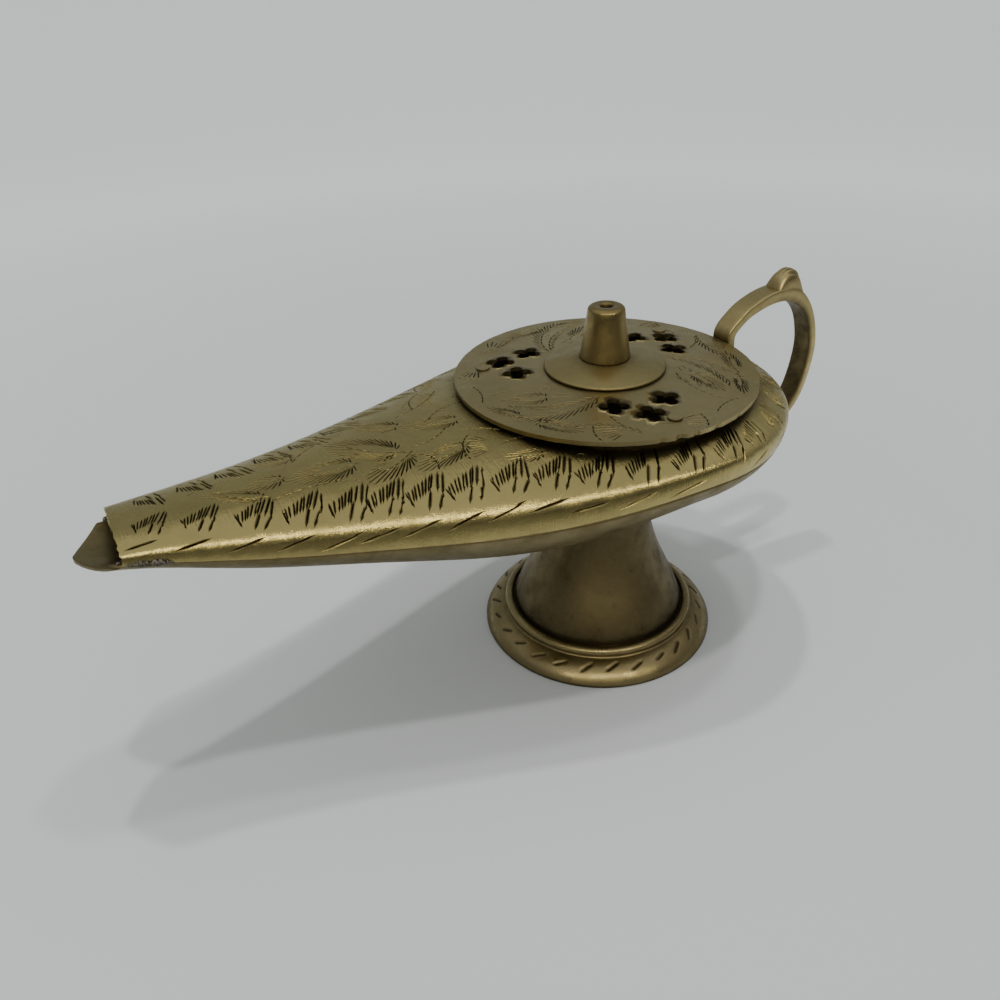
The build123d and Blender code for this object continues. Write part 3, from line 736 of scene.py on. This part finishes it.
def bow(start, end, bulge, count):
    # points along a shallow bow between two places, bulging to the left by a share of its length
    t = np.linspace(0, 1, count)[:, None]
    start, end = np.asarray(start, float), np.asarray(end, float)
    along = end - start
    side = np.array([-along[1], along[0]]) * bulge
    return start + along * t + side * 4 * t * (1 - t)


def bowed(start, end, bulge, count, width=0.42, depth=0.26):
    return chain(bow(start, end, bulge, count), width, depth)


def leaf(base, tip, wide, stem=0.0):
    # hatched leaf: slim cuts run in from a toothed edge towards the foot of a bowed rib
    base, tip = np.asarray(base, float), np.asarray(tip, float)
    size = np.hypot(*(tip - base))
    way = (tip - base) / size
    side = np.array([-way[1], way[0]])
    made = []
    for hand, share, reach in ((1, 1, 0.46), (-1, 0.85, 0.36)):
        fine = np.linspace(0.12, 1.0, 60)
        edge = wide * size * np.sin(np.pi * fine**0.85) ** 0.6 * share
        line = base + way * (fine * size)[:, None] + side * (hand * edge)[:, None]
        run = lengthAlong(line)
        count = max(int(run[-1] / graver["leafPitch"]), 5)
        at = np.linspace(0, run[-1], count)
        outer = np.stack([np.interp(at, run, line[:, k]) for k in (0, 1)], -1)
        inwards = base + way * size * 0.12 - outer
        far = np.hypot(*inwards.T)
        outer = outer - inwards / far[:, None] * (0.55 * np.abs(np.sin(np.arange(count) * 0.9)))[:, None]
        length = np.clip(reach * size * rng.uniform(0.8, 1.15, count), 1.6, far * 0.8)
        made.append(cutRows(outer + inwards / far[:, None] * length[:, None], outer, *graver["leaf"]))
    made.append(bowed(base - way * stem, tip - way * size * 0.3, 0.06, 7, *graver["rib"]))
    return np.concatenate(made)


def spray(points, length, lean, count, hand=1):
    # long cuts that leave a curved stem to one side, all leaning forwards, longest in its middle
    t = np.linspace(0.04, 0.96, count)
    run = np.linspace(0, 1, len(points))
    foot = np.stack([np.interp(t, run, points[:, k]) for k in (0, 1)], -1)
    along = np.gradient(foot, axis=0)
    turn = np.arctan2(along[:, 1], along[:, 0]) + hand * np.radians(lean)
    size = length * (0.55 + 0.45 * np.sin(np.pi * t)) * rng.uniform(0.85, 1.1, count)
    way = towards(turn)
    cuts = cutRows(foot + way * 0.4, foot + way * size[:, None], *graver["spray"])
    return np.concatenate([cuts, chain(points, *graver["stem"])])


def fan(base, tip, count, spread, stem):
    # a spread of cuts out of one place, with a line across their ends and a stem
    base, tip = np.asarray(base, float), np.asarray(tip, float)
    size, heading = np.hypot(*(tip - base)), np.arctan2(*(tip - base)[::-1])
    turn = heading + np.linspace(-spread, spread, count)
    way = towards(turn)
    near, far = base + way * size * 0.42, base + way * size * rng.uniform(0.9, 1.05, count)[:, None]
    edge = chain(base + way * size * 1.1, *graver["fanEdge"])
    return np.concatenate([cutRows(near, far, *graver["fan"]), edge, bowed(base, stem, 0.08, 6, *graver["stem"])])


border = {
    "near": [
        (-127.5, -4.6), (-117, -7.8), (-105.5, -11.6), (-95, -14.8), (-85, -17.8), (-76.5, -20.4), (-67.5, -23),
        (-58, -25.8), (-47.5, -28.6), (-37.5, -32.4), (-28, -37), (-17, -41), (-5, -43.6), (7, -44.6),
    ],
    "far": [
        (-126, 4.6), (-115.5, 5.4), (-105.5, 7.2), (-95, 9.8), (-84.5, 12.2), (-74.5, 15.8), (-64.5, 21.2),
        (-54, 26.6), (-43.5, 31.6), (-33, 36.4), (-22, 39.6), (-10, 42.6), (2, 44.2),
    ],
    "backReach": 45.2, "backCount": 11, "backTurn": 74,
}


def borderCuts(s):
    made = []
    for spots, side, count, grow in ((s["near"], -1, 8, 1.05), (s["far"], 1, 7, 1.0)):
        heading = np.gradient(np.array(spots, float), axis=0)
        for k, (spot, along) in enumerate(zip(spots, heading)):
            turn = np.arctan2(along[1], along[0])
            size = 0.74 + 0.26 * min(k / 4, 1)
            made.append(placed(comb(count), spot, turn, size * grow, -side))
            made.append(placed(longStroke(), spot, turn, size, -side))
            if side > 0:
                fill = bowed((-4.8, -2.6), (4.6, -5.4), -0.3, 6, *graver["fill"])
                made.append(placed(fill, spot, turn, size, -side))
    # the two rows meet round the back
    for a in np.linspace(np.radians(s["backTurn"]), np.radians(-s["backTurn"]), s["backCount"]):
        spot = (bowl["widestX"], 0) + s["backReach"] * towards(a)
        made.append(placed(comb(7), spot, a + np.pi / 2, 0.86, -1 if a >= 0 else 1))
        made.append(placed(longStroke(), spot, a + np.pi / 2, 0.8, 1))
    return np.concatenate(made)


spout = {
    "lines": [  # start, end, bulge, points, width
        ((-54, 4), (-41, 8), 0.16, 8, 0.5), ((-64, -6.5), (-52, -2.5), -0.12, 8, 0.5),
        ((-66, -9), (-62, -19), 0.25, 7, 0.6), ((-101, -10), (-84, -10.5), 0.05, 8), ((-92, 3.6), (-76, 12), 0.1, 8),
        ((-118, 1.8), (-104, 3.6), 0.1, 6, 0.4), ((-61, 11), (-44, 21), -0.1, 9), ((-51, -6), (-41, -12), 0.1, 7),
    ],
    "ring": ((-29.6, -32.6), 1.35),  # a round punch mark: centre and radius
    "dashes": [
        ((-88, 9.5), (-70, 17)), ((-60, 0), (-48, 7.5)), ((-98, -9), (-82, -12.5)), ((-57, 16), (-46, 24)),
    ],
}


def spoutCuts(s):
    made = [
        leaf((-101, -8.5), (-115, 0.2), 0.16), leaf((-95, -2), (-106, -2.6), 0.3),
        leaf((-77, -5.6), (-96.5, -4.2), 0.27), leaf((-66, -8), (-83, 8.4), 0.26),
        leaf((-64, -8), (-79, -15), 0.3), leaf((-50, -12.6), (-67, -16.6), 0.24),
        leaf((-46, -0.6), (-62, 3.8), 0.24), leaf((-61, 5), (-73, 13), 0.24),
        fan((-44, -17.5), (-52, -14), 9, 0.6, (-33, -20)), fan((-43, 13), (-52, 18.5), 9, 0.55, (-37, 9)),
        fan((-38, 25), (-46, 29), 8, 0.5, (-31, 22)), leaf((-90, 6), (-101, 8.5), 0.24),
        leaf((-36, -27), (-46, -23), 0.22),
    ]
    made += [bowed(*line) for line in s["lines"]]
    center, radius = s["ring"]
    made.append(chain(np.array(center) + circle(radius, 13)[list(range(13)) + [0]], *graver["ring"]))
    for start, end in s["dashes"]:
        p = bow(start, end, 0.06, 8)
        made.append(cutRows(p, p + (1.5, 0.35), *graver["spoutDash"]))
    return np.concatenate(made)


def clearCuts(cuts, loops, margin=0.7):
    # only the cuts that lie wholly inside the sheet, clear of its outlines
    keep = np.hypot(*(cuts[:, 2:4] - cuts[:, 0:2]).T) > 0.3
    for share in (0.0, 0.5, 1.0):
        p = cuts[:, 0:2] + (cuts[:, 2:4] - cuts[:, 0:2]) * share
        keep &= onSheet(p, loops) & clearOf(p, loops, margin)
    return cuts[keep]


upperLoops = [shellOutline("upper", bowl["mouthX"], 1.0), flatPlace(circle(opening["radius"], opening["points"]))]
upperCuts = clearCuts(np.concatenate([borderCuts(border), spoutCuts(spout)]), upperLoops)
print("cuts on the upper shell", len(upperCuts))


def upperInside(flat):
    # the inner skin, cut straight down at the lid's opening
    point, normal = sheetPoint(flat, "upper", bowl["wall"])
    radius = np.hypot(point[:, 0], point[:, 1])
    point[:, :2] *= np.maximum(1, (opening["radius"] + 0.1) / np.maximum(radius, 1e-6))[:, None]
    return point, normal


engravedSheet(
    "upperShell", upperLoops, sheetGrid(upperLoops, 2.4), upperCuts, sheetPoint, upperInside, "upper",
    ("upper_shell",),
)
print("upper shell done")

collar = {
    "profile": [(38.5, 82.0), (38.5, 86.5), (38.75, 86.76), (39.75, 86.76), (40.0, 86.5), (40.0, 82.0)],
    "around": 160,
}
turnedPiece("lidCollar", collar, "lower", ())
print("collar done")

# lower shell: keel to seam, round the back, and the open lip beyond the upper shell
lower = {"along": 150, "round": 90, "across": 36, "lipRows": 26}


def lowerFront(s, inset):
    # rows run from one seam under the keel to the other; past the mouth they narrow to the lip's blunt point:
    # half width times (1 - reach^1.25)^0.86, reach being the share of the lip's length
    mouth, tip = bowl["mouthX"], bowl["mouthX"] - bowl["lipX"]
    front = np.concatenate([
        mouth - tip * np.sin(np.linspace(np.pi / 2, 0, s["lipRows"])),
        np.linspace(mouth, bowl["widestX"], s["along"])[1:],
    ])
    reach = np.clip((mouth - front) / tip, 0, 1)
    edge = bowl["lipHalfWidth"] * np.clip(1 - reach**1.25, 0, 1) ** 0.86
    cut, inner = np.ones(len(front)), np.linspace(0, 1, 60)
    for k in np.flatnonzero(front < mouth):
        # share of the half section at which the lip's outline is met
        y = bodyPoint(np.full(60, front[k]), inner, 1.0, "lower", inset)[0][:, 1]
        cut[k] = np.interp(min(edge[k], y[-1]), y, inner)
    x, share = np.meshgrid(front, np.linspace(-1, 1, 2 * s["across"] + 1), indexing="ij")
    used = np.abs(share) * cut[:, None]
    side = np.where(share < 0, -1.0, 1.0)
    return bodyPoint(x.ravel(), used.ravel(), side.ravel(), "lower", inset)[0].reshape(*x.shape, 3)


def lowerRear(s, inset):
    turn = np.linspace(np.pi / 2, -np.pi / 2, s["round"])[1:-1]
    turn, share = np.meshgrid(turn, np.linspace(0, 1, s["across"] + 1), indexing="ij")
    x = np.full(turn.size, bowl["widestX"])
    return bodyPoint(x, share.ravel(), 1.0, "lower", inset, turn.ravel())[0].reshape(*turn.shape, 3)


def buildLowerShell(s):
    points, faces, edges, ends, at = [], [], [], [], 0
    for inset, flip in ((0.0, False), (bowl["wall"], True)):
        front, rear = lowerFront(s, inset), lowerRear(s, inset)
        points += [front.reshape(-1, 3), rear.reshape(-1, 3)]
        number = at + np.arange(front[..., 0].size).reshape(front.shape[:2])
        rearNumber = at + number.size + np.arange(rear[..., 0].size).reshape(rear.shape[:2])
        # the round back joins the two half rows of the widest section
        half = s["across"]
        ring = np.concatenate([[number[-1, half:]], rearNumber, [number[-1, half::-1]]])
        quads = np.stack([ring[:-1, :-1], ring[1:, :-1], ring[1:, 1:], ring[:-1, 1:]], -1).reshape(-1, 4)
        faces += [gridFaces(*number.shape, flip=flip) + at, quads[:, ::-1] if flip else quads]
        edges.append(np.concatenate([number[:, -1], ring[1:-1, -1], number[::-1, 0]]))
        ends.append(number[0])
        at += number.size + rearNumber.size
    for (outer, inner), way in ((edges, 1), (ends, -1)):
        faces.append(np.stack([outer[:-1], inner[:-1], inner[1:], outer[1:]], -1)[:, ::way])
    toObject("lowerShell", np.concatenate(points), np.concatenate(faces), "lower", ("lower_shell",))


buildLowerShell(lower)
print("lower shell done")

# solder run into the seam at the mouth, outside and inside, lumpy and pale
seamRuns = {
    "along": 120, "across": 18,
    "strips": [  # from, to, high, proud, inset
        (-135.4, -125.5, 1.9, 0.42, 0.0),
        (-136.9, -111.5, 3.2, -1.25, 1.45),
    ],
}


def skinReach(x, z, inset=0.0):
    # half width of the lower skin at a height: half width times (1 - below^power)^(1/power)
    sizes, power = sectionSizes(x), bowl["keelPower"]
    below = np.clip((sizes["widestZ"] - z) / sizes["depth"], 0, 1)
    return (sizes["halfWidth"] - inset) * (1 - below**power) ** (1 / power)


def seamStrip(s, side, start, end, high, proud, inset):
    # a strip along the seam: proud times a round hump across it, swollen and pinched along it
    x = np.linspace(start, end, s["along"])[:, None]
    t = np.linspace(0, 1, s["across"])
    taper = np.sin(np.linspace(0, np.pi, s["along"]))[:, None] ** 0.4
    lump = 1 + 0.45 * np.sin(x * 3.1) * np.sin(x * 1.3 + 1) + 0.25 * rng.normal(0, 1, s["along"])[:, None]
    z = sectionSizes(x)["seamZ"] + high * taper * np.clip(lump, 0.35, 1.6) * (t - 0.5)
    grain = 1 + 0.35 * rng.normal(0, 1, z.shape)
    bulge = proud * np.sin(np.pi * t) ** 0.7 * np.clip(grain, 0.3, 1.8) * taper
    skin, x = skinReach(x, z, inset), np.broadcast_to(x, z.shape)
    face = np.stack([x, side * (skin + bulge), z], -1)
    root = np.stack([x, side * (skin - 0.4 * np.sign(proud)), z], -1)[:, ::-1]
    return np.concatenate([face, root], 1)


def seamRun(s, side, name, node):
    points, faces = [], []
    for strip in s["strips"]:
        rings = seamStrip(s, side, *strip)
        at = len(points) * rings[..., 0].size
        faces += [[v + at for v in f] for f in capped(rings)]
        points.append(rings.reshape(-1, 3))
    toObject(name, np.concatenate(points), faces, "paleSolder", (node,))


seamRun(seamRuns, -1, "mouthSolderNear", "spout_solder_left")
seamRun(seamRuns, 1, "mouthSolderFar", "spout_solder_right")
print("solder runs done")

# the lid: a shallow cone pierced with three groups of three four-lobed holes
lid = {
    "rimRadius": 43.0, "rimTop": 88.0, "thick": 1.2, "rise": 1.4, "plateRadius": 17.15, "bore": 1.98,
    "lobeRadius": 1.75, "lobeSpread": 2.35, "outerRing": 30.5, "innerRing": 25.1, "innerAngle": 17.0,
    "groupAngle": 17.5,
    "nicks": ((-99, 2.2, 1.0), (-93, 1.2, 0.5), (-106, 1.5, 0.45), (-84, 1.4, 0.35), (-72, 1.1, 0.3)),
    "dashes": (  # radius, turn in degrees from the middle between two groups of holes
        (20.5, 10), (22, 14), (23.5, 9), (26, 15), (28, 10), (30, 16), (33, 12), (35, 17),
        (20.5, -8), (23, -10), (26.5, -12), (29, -9),
    ),
}


def lidHeight(r):
    slope = lid["rise"] / (lid["rimRadius"] - lid["plateRadius"])
    return lid["rimTop"] + slope * (lid["rimRadius"] - np.maximum(r, lid["plateRadius"])), slope


def polar(radius, degrees):
    return radius * towards(np.radians(degrees))


def lobedHole(center, turn, count=40):
    # four round lobes about a centre: radius to the outermost of the four circles
    t = np.arange(count) / count * 2 * np.pi
    best = np.zeros(count)
    for k in range(4):
        a = t - k * np.pi / 2
        c, s = lid["lobeSpread"] * np.cos(a), lid["lobeSpread"] * np.sin(a)
        hit = c + np.sqrt(np.clip(lid["lobeRadius"] ** 2 - s**2, 0, None))
        best = np.maximum(best, np.where(np.abs(s) < lid["lobeRadius"], hit, 0))
    return center + best[:, None] * towards(t + turn)


def lidLoops(s):
    rim = circle(1.0, 420)
    around = np.degrees(np.arctan2(rim[:, 1], rim[:, 0]))
    radius = s["rimRadius"] - 0.06 * np.abs(np.sin(around * 0.31)) - 0.05 * np.abs(np.sin(around * 0.83 + 1))
    for place, wide, deep in s["nicks"]:
        radius -= deep * np.clip(1 - np.abs(around - place) / wide, 0, 1)
    loops = [rim * radius[:, None], circle(s["bore"], 24)]
    inner = s["innerRing"], s["innerAngle"]
    for group in range(3):
        for ring, off in ((s["outerRing"], 0), inner, (inner[0], -inner[1])):
            degrees = s["groupAngle"] + 120 * group + off
            loops.append(lobedHole(polar(ring, degrees), np.radians(degrees)))
    return loops


def lidFace(drop):
    def place(flat):
        r = np.hypot(flat[:, 0], flat[:, 1])
        z, slope = lidHeight(r)
        tilt = np.where(r > lid["plateRadius"], slope, 0) / np.maximum(r, 1e-9)
        normal = np.stack([flat[:, 0] * tilt, flat[:, 1] * tilt, np.ones(len(r))], -1)
        return np.stack([flat[:, 0], flat[:, 1], z - drop], -1), unit(normal)
    return place


def lidCuts(s):
    made = []
    for group in range(3):
        a = s["groupAngle"] + 60 + 120 * group
        made += [
            leaf(polar(24, a + 2), polar(35, a - 15), 0.26, 1.5),
            leaf(polar(37.5, a + 8), polar(38.5, a + 30), 0.2, 1.5), leaf(polar(37, a + 4), polar(40, a - 14), 0.17, 1),
            spray(bow(polar(19.5, a + 34), polar(38, a + 2), 0.14, 9), 6.2, 26, 15, 1),
            spray(bow(polar(19.5, a + 31), polar(35.5, a - 6), 0.14, 9), 5.2, 30, 13, -1),
            spray(bow(polar(39.6, a + 52), polar(37.2, a + 26), -0.1, 9), 4.4, 28, 11, -1),
            fan(polar(36.5, a + 48), polar(40.2, a + 36), 7, 0.6, polar(30, a + 40)),
            fan(polar(36.5, a + 66), polar(40.4, a + 76), 7, 0.6, polar(35.6, a + 60)),
            bowed(polar(20, a - 2), polar(36, a - 22), -0.12, 9, *graver["spray"]),
            bowed(polar(39.5, a - 18), polar(38.5, a - 34), -0.1, 7, *graver["line"]),
        ]
        p = np.array([polar(radius, a + turn) for radius, turn in s["dashes"]])
        made.append(cutRows(p, p + polar(3.4, a - 62), *graver["lidDash"]))
    return np.concatenate(made)


lidOutlines = lidLoops(lid)
lidEngraving = clearCuts(lidCuts(lid), lidOutlines)
lidEngraving = lidEngraving[np.hypot(lidEngraving[:, 0], lidEngraving[:, 1]) > lid["plateRadius"] + 0.5]
print("cuts on the lid", len(lidEngraving))
engravedSheet(
    "lidDisc", lidOutlines, sheetGrid(lidOutlines, 2.2, 0.5), lidEngraving, lidFace(0.0), lidFace(lid["thick"]),
    "lid", ("lid_disc",), "lid_plate",
)
print("lid done")

# knob plate and knob, as profiles of radius and height
plate = {
    "profile": [
        (1.98, 92.6), (6.9, 92.6), (7.35, 92.5), (7.7, 92.42), (16.6, 90.5), (16.95, 90.33), (17.15, 90.05),
        (17.15, 89.7), (17.0, 89.5), (16.25, 89.5), (16.1, 89.62), (7.2, 91.7), (1.98, 91.7),
    ],
    "around": 128,
}
knob = {
    "profile": [
        (1.9, 92.6), (7.05, 92.6), (7.2, 92.72), (7.2, 92.95), (7.08, 93.4), (6.2, 99.0), (5.35, 105.2), (5.18, 106.4),
        (5.02, 106.8), (4.65, 107.15), (4.2, 107.38), (3.7, 107.45), (2.3, 107.45), (1.9, 107.25), (1.7, 106.9),
        (1.7, 99.6), (1.9, 99.6),
    ],
    "around": 96,
}
turnedPiece("knobPlate", plate, "plate", ("knob_plate",), "knob_group")
turnedPiece("knob", knob, "knob", ("knob",), "knob_group")
print("knob done")

# the foot: trumpet neck, groove, bead and spread flange
foot = {
    "neckRadius": 15.0, "neckTop": 46.0, "grooveRadius": 27.4, "grooveZ": 8.8, "wall": 2.3, "around": 480,
    "down": (0.0, 0.23, 0.44, 0.66, 0.84, 1.0), "out": (0.0, 0.10, 0.29, 0.57, 0.82, 1.0),
    "groove": [(27.32, 8.85), (27.5, 8.45), (27.72, 8.3), (27.92, 8.55)],
    "bead": ((28.0, 8.98), (29.0, 9.3), (30.45, 7.0)), "flange": ((30.62, 6.42), (34.63, 4.50), (37.1, 1.1)),
    "under": [(37.1, 0.35), (36.85, 0.0), (35.0, 0.0), (34.8, 0.2), (30.7, 4.0), (27.6, 6.2), (25.1, 8.8)],
    "hollowTop": [(12.7, 49.92), (2.5, 49.92)], "boltRadius": 2.5, "intoBowl": 0.35, "upperRows": 5,
    "band": (31, 36.4, 1.5),  # least and most radius and least height of the flange that carries strokes
    "strokes": 27, "strokeFrom": 32.3, "strokeTo": 34.9, "strokeSlant": 5.0, "strokeRadius": 34, "strokeTurn": 0.10,
    "darkHeights": (8.0, 9.5, 20, 46), "dark": (0.0, 0.80, 0.66, 0.80),  # how much darker the neck is made at its heights, where it stands under the bowl
}


def arcThrough(p, q, r, count):
    # points on the circle through three points, from the first to the last
    p, q, r = map(np.asarray, (p, q, r))
    a = 2 * np.array([q - p, r - p])
    b = np.array([q @ q - p @ p, r @ r - p @ p])
    center = np.linalg.solve(a, b)
    angle = np.unwrap([np.arctan2(*(v - center)[::-1]) for v in (p, q, r)])
    t = np.linspace(angle[0], angle[2], count)
    return center + np.hypot(*(p - center)) * towards(t)


def underside(x, y, inset=0.0):
    # height of the bowl's underside over a place seen from below
    s = sectionSizes(np.minimum(x, bowl["widestX"]))
    r = np.where(x > bowl["widestX"], np.hypot(x - bowl["widestX"], y), np.abs(y))
    q = np.clip(r / (s["halfWidth"] - inset), 0, 1) ** bowl["keelPower"]
    return s["widestZ"] - (s["depth"] - inset) * (1 - q) ** (1 / bowl["keelPower"])


def flangeStrokes(s, where):
    # depth of the slanted strokes round the flange, laid out flat by turn and radius
    strokes = np.linspace(-np.pi, np.pi, s["strokes"] + 1)[:-1] + s["strokeTurn"]
    n, around = len(strokes), strokes * s["strokeRadius"]
    cuts = np.stack([
        around + s["strokeSlant"], np.full(n, s["strokeFrom"]), around, np.full(n, s["strokeTo"]),
        rng.uniform(1.0, 1.4, n), rng.uniform(0.36, 0.5, n),
    ], -1) + np.concatenate([rng.normal(0, 0.35, (n, 4)), np.zeros((n, 2))], 1)
    return np.concatenate([depthOfCuts(part, cuts) for part in np.array_split(where, 24)])


def buildFoot(s):
    fall = np.linspace(0, 1, 44)
    out, _ = smoothThrough(s["down"], s["out"])(fall)
    r = s["neckRadius"] + out * (s["grooveRadius"] - s["neckRadius"])
    z = s["neckTop"] - fall * (s["neckTop"] - s["grooveZ"])
    neck, hollow = np.stack([r, z], -1)[:-1], np.stack([r - s["wall"], z], -1)[::-4]
    bead, flange = arcThrough(*s["bead"], 12), arcThrough(*s["flange"], 26)
    profile = np.concatenate([neck, s["groove"], bead, flange, s["under"], hollow, s["hollowTop"]])
    count, upperRows = s["around"], s["upperRows"]
    turn = (np.arange(count) + 0.5) / count * 2 * np.pi - np.pi
    pr, pz = profile.T
    band = (pr > s["band"][0]) & (pr < s["band"][1]) & (pz > s["band"][2])
    where = np.stack(np.meshgrid(turn * s["strokeRadius"], pr[band], indexing="ij"), -1).reshape(-1, 2)
    sunk = np.zeros((count, len(profile)))
    sunk[:, band] = flangeStrokes(s, where).reshape(count, -1)

    def ring(radius):
        # a circle of points on the bowl's underside, just inside its wall
        x, y = radius * np.cos(turn), radius * np.sin(turn)
        return np.stack([x, y, underside(x, y) + s["intoBowl"]], -1)

    # the neck's first rows rise to the bowl's underside
    rise = np.linspace(1, 0, upperRows + 1)[:-1, None]
    crown = np.repeat(ring(s["neckRadius"])[:, None], upperRows, 1)
    crown[..., 2:] = s["neckTop"] + rise * (crown[..., 2:] - s["neckTop"])
    points = np.concatenate([crown, carriedRound(turn, pr, pz - sunk), ring(s["boltRadius"])[:, None]], 1)
    faces = gridFaces(count, points.shape[1], closeRows=True, closeCols=True)
    # the groove attribute takes the depth of the strokes and the darkening of the neck, which is made darker by height
    groove = np.clip(sunk / 0.35, 0, 1) + np.interp(pz, s["darkHeights"], s["dark"]) * (pr < 27.6)
    groove = np.concatenate([np.full((count, upperRows), s["dark"][-1]), groove, np.zeros((count, 1))], 1)
    toObject("pedestalFoot", points, faces, "foot", ("pedestal_foot",), groove=groove)


buildFoot(foot)
print("foot done")

# the handle: a flat bar bent to an ear
handle = {
    "frontX": 43.45, "backX": 82.0, "lowZ": 48.4, "topZ": 100.3, "width": 7.0, "thick": 3.0, "startZ": 83.2,
    "darkX": (55, 70), "darkShare": (0.2, 1.0),  # the inner side is made darker towards the back
    "course": (  # share back, share up, thickness
        (0.000, 0.560, 1.0), (-0.004, 0.700, 1.0), (0.002, 0.815, 1.0), (0.100, 0.892, 1.0),
        (0.195, 0.940, 1.10), (0.400, 0.993, 1.25), (0.600, 1.000, 1.35), (0.730, 0.972, 1.45),
        (0.845, 0.892, 1.20), (0.932, 0.780, 1.0), (0.991, 0.632, 1.0), (0.998, 0.510, 1.0),
        (0.925, 0.270, 1.0), (0.777, 0.122, 1.0), (0.580, 0.020, 1.0), (0.350, 0.005, 1.0),
        (0.110, 0.110, 1.0), (-0.090, 0.290, 1.0),
    ),
}


def throughPoints(points, count):
    # a smooth line through the points, even in length
    points = np.asarray(points, float)
    t = np.append(0, np.cumsum(np.sqrt(np.linalg.norm(np.diff(points, axis=0), axis=1))))
    fine = np.linspace(0, t[-1], 1200)
    line = np.stack([smoothThrough(t, points[:, k])(fine)[0] for k in range(points.shape[1])], -1)
    length = lengthAlong(line[:, :2])
    even = np.linspace(0, length[-1], count)
    return np.stack([np.interp(even, length, line[:, k]) for k in range(points.shape[1])], -1)


def buildHandle(s):
    course = np.array(s["course"])
    x = s["frontX"] + course[:, 0] * (s["backX"] - s["frontX"])
    z = s["lowZ"] + course[:, 1] * (s["topZ"] - s["lowZ"])
    line = throughPoints(np.stack([x, z, course[:, 2] * s["thick"]], -1), 260)
    # from the lid's side round to where the lower end enters the bowl
    behind = np.abs(line[:, 0] - bowl["widestX"])
    skin = skinReach(bowl["widestX"], line[:, 1])
    inBowl = (behind < skin - 1.0) & (line[:, 1] < bowl["widestZ"][0] - 0.7) & (np.arange(len(line)) > len(line) / 2)
    last = np.argmax(inBowl) if inBowl.any() else len(line) - 1
    line = line[np.argmax(line[:, 1] > s["startZ"]):last + 1]
    along = unit(np.gradient(line[:, :2], axis=0))
    inward = np.stack([along[:, 1], -along[:, 0]], -1)
    t = np.arange(40) / 40 * 2 * np.pi
    # a rounded flat section: across the bar and through its thickness
    across = np.sign(np.cos(t)) * np.abs(np.cos(t)) ** 0.20
    through = np.sign(np.sin(t)) * np.abs(np.sin(t)) ** 0.32
    half = line[:, 2:3] / 2
    px, pz = [(line[:, k, None] + inward[:, k, None] * half) - inward[:, k, None] * half * through for k in (0, 1)]
    points = np.stack([px, np.broadcast_to(s["width"] / 2 * across, px.shape), pz], -1)
    # the inner side of the bar is made darker, more towards the back
    rear = np.interp(line[:, 0], s["darkX"], s["darkShare"])[:, None]
    groove = np.clip(-through, 0, 1) * rear
    toObject("handle", points, capped(points), "handle", ("handle",), groove=groove)


buildHandle(handle)

thumb = {
    "crest": [
        (62.0, 99.9), (62.8, 101.8), (63.8, 103.6), (65.2, 104.9), (66.8, 105.6), (68.4, 105.6), (69.8, 105.1),
        (70.9, 104.1), (71.7, 102.6), (72.6, 100.5), (73.8, 98.0), (75.0, 95.8), (76.2, 93.9),
    ],
    "root": [(62.0, 98.4), (66.0, 97.6), (69.0, 96.4), (72.0, 94.2), (76.2, 90.9)],
    "half": 3.45, "notches": (-0.62, -0.22, 0.2, 0.6), "notchWide": 0.13, "notchDepth": 1.1,
    "notchFrom": 64.5, "notchTo": 74.0, "rows": 48,
}


def buildThumbRest(s):
    # stations from front to back; each is a rounded hump over the bar, notched towards the back
    crest = throughPoints(np.column_stack([s["crest"], np.zeros(len(s["crest"]))]), s["rows"])
    x, high = crest[:, 0][:, None], crest[:, 1][:, None]
    low = np.interp(x, *np.array(s["root"]).T)
    v = np.linspace(-1, 1, 45)
    dome = (1 - np.abs(v) ** 3.2) ** 0.5
    notch = np.max([np.clip(1 - np.abs(v - c) / s["notchWide"], 0, 1) for c in s["notches"]], 0)
    back = np.clip((x - s["notchFrom"]) / 4.0, 0, 1) * np.clip((s["notchTo"] - x) / 1.5, 0, 1)
    top = low + (high - low) * (0.30 + 0.70 * dome) - s["notchDepth"] * notch * back
    half = s["half"] * (1 - 0.10 * np.sin(np.linspace(0, np.pi, s["rows"])))[:, None]
    x, low = np.broadcast_to(x, top.shape), np.broadcast_to(low, top.shape)
    upper = np.stack([x, half * v, top], -1)
    down = np.stack([x, half * 0.92 * v[::-1], low], -1)[:, ::4]
    points = np.concatenate([upper, down], 1)
    toObject("thumbRest", points, capped(points), "handle", ())


buildThumbRest(thumb)
print("handle done")

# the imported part's own small pieces get their finish
kept = {
    "solder": ("seam_solder", "handle_top_solder", "handle_bottom_solder"),
    "fastener": ("foot_bolt", "foot_washer", "foot_nut", "knob_washer", "knob_screw"),
    "lid": ("lid_lug_1", "lid_lug_2", "lid_lug_3", "lug_rivets"),
}
for finish, names in kept.items():
    for piece in bpy.data.objects:
        if piece.name.split(".")[0] in names:
            piece.data.materials.clear()
            piece.data.materials.append(finishes[finish])
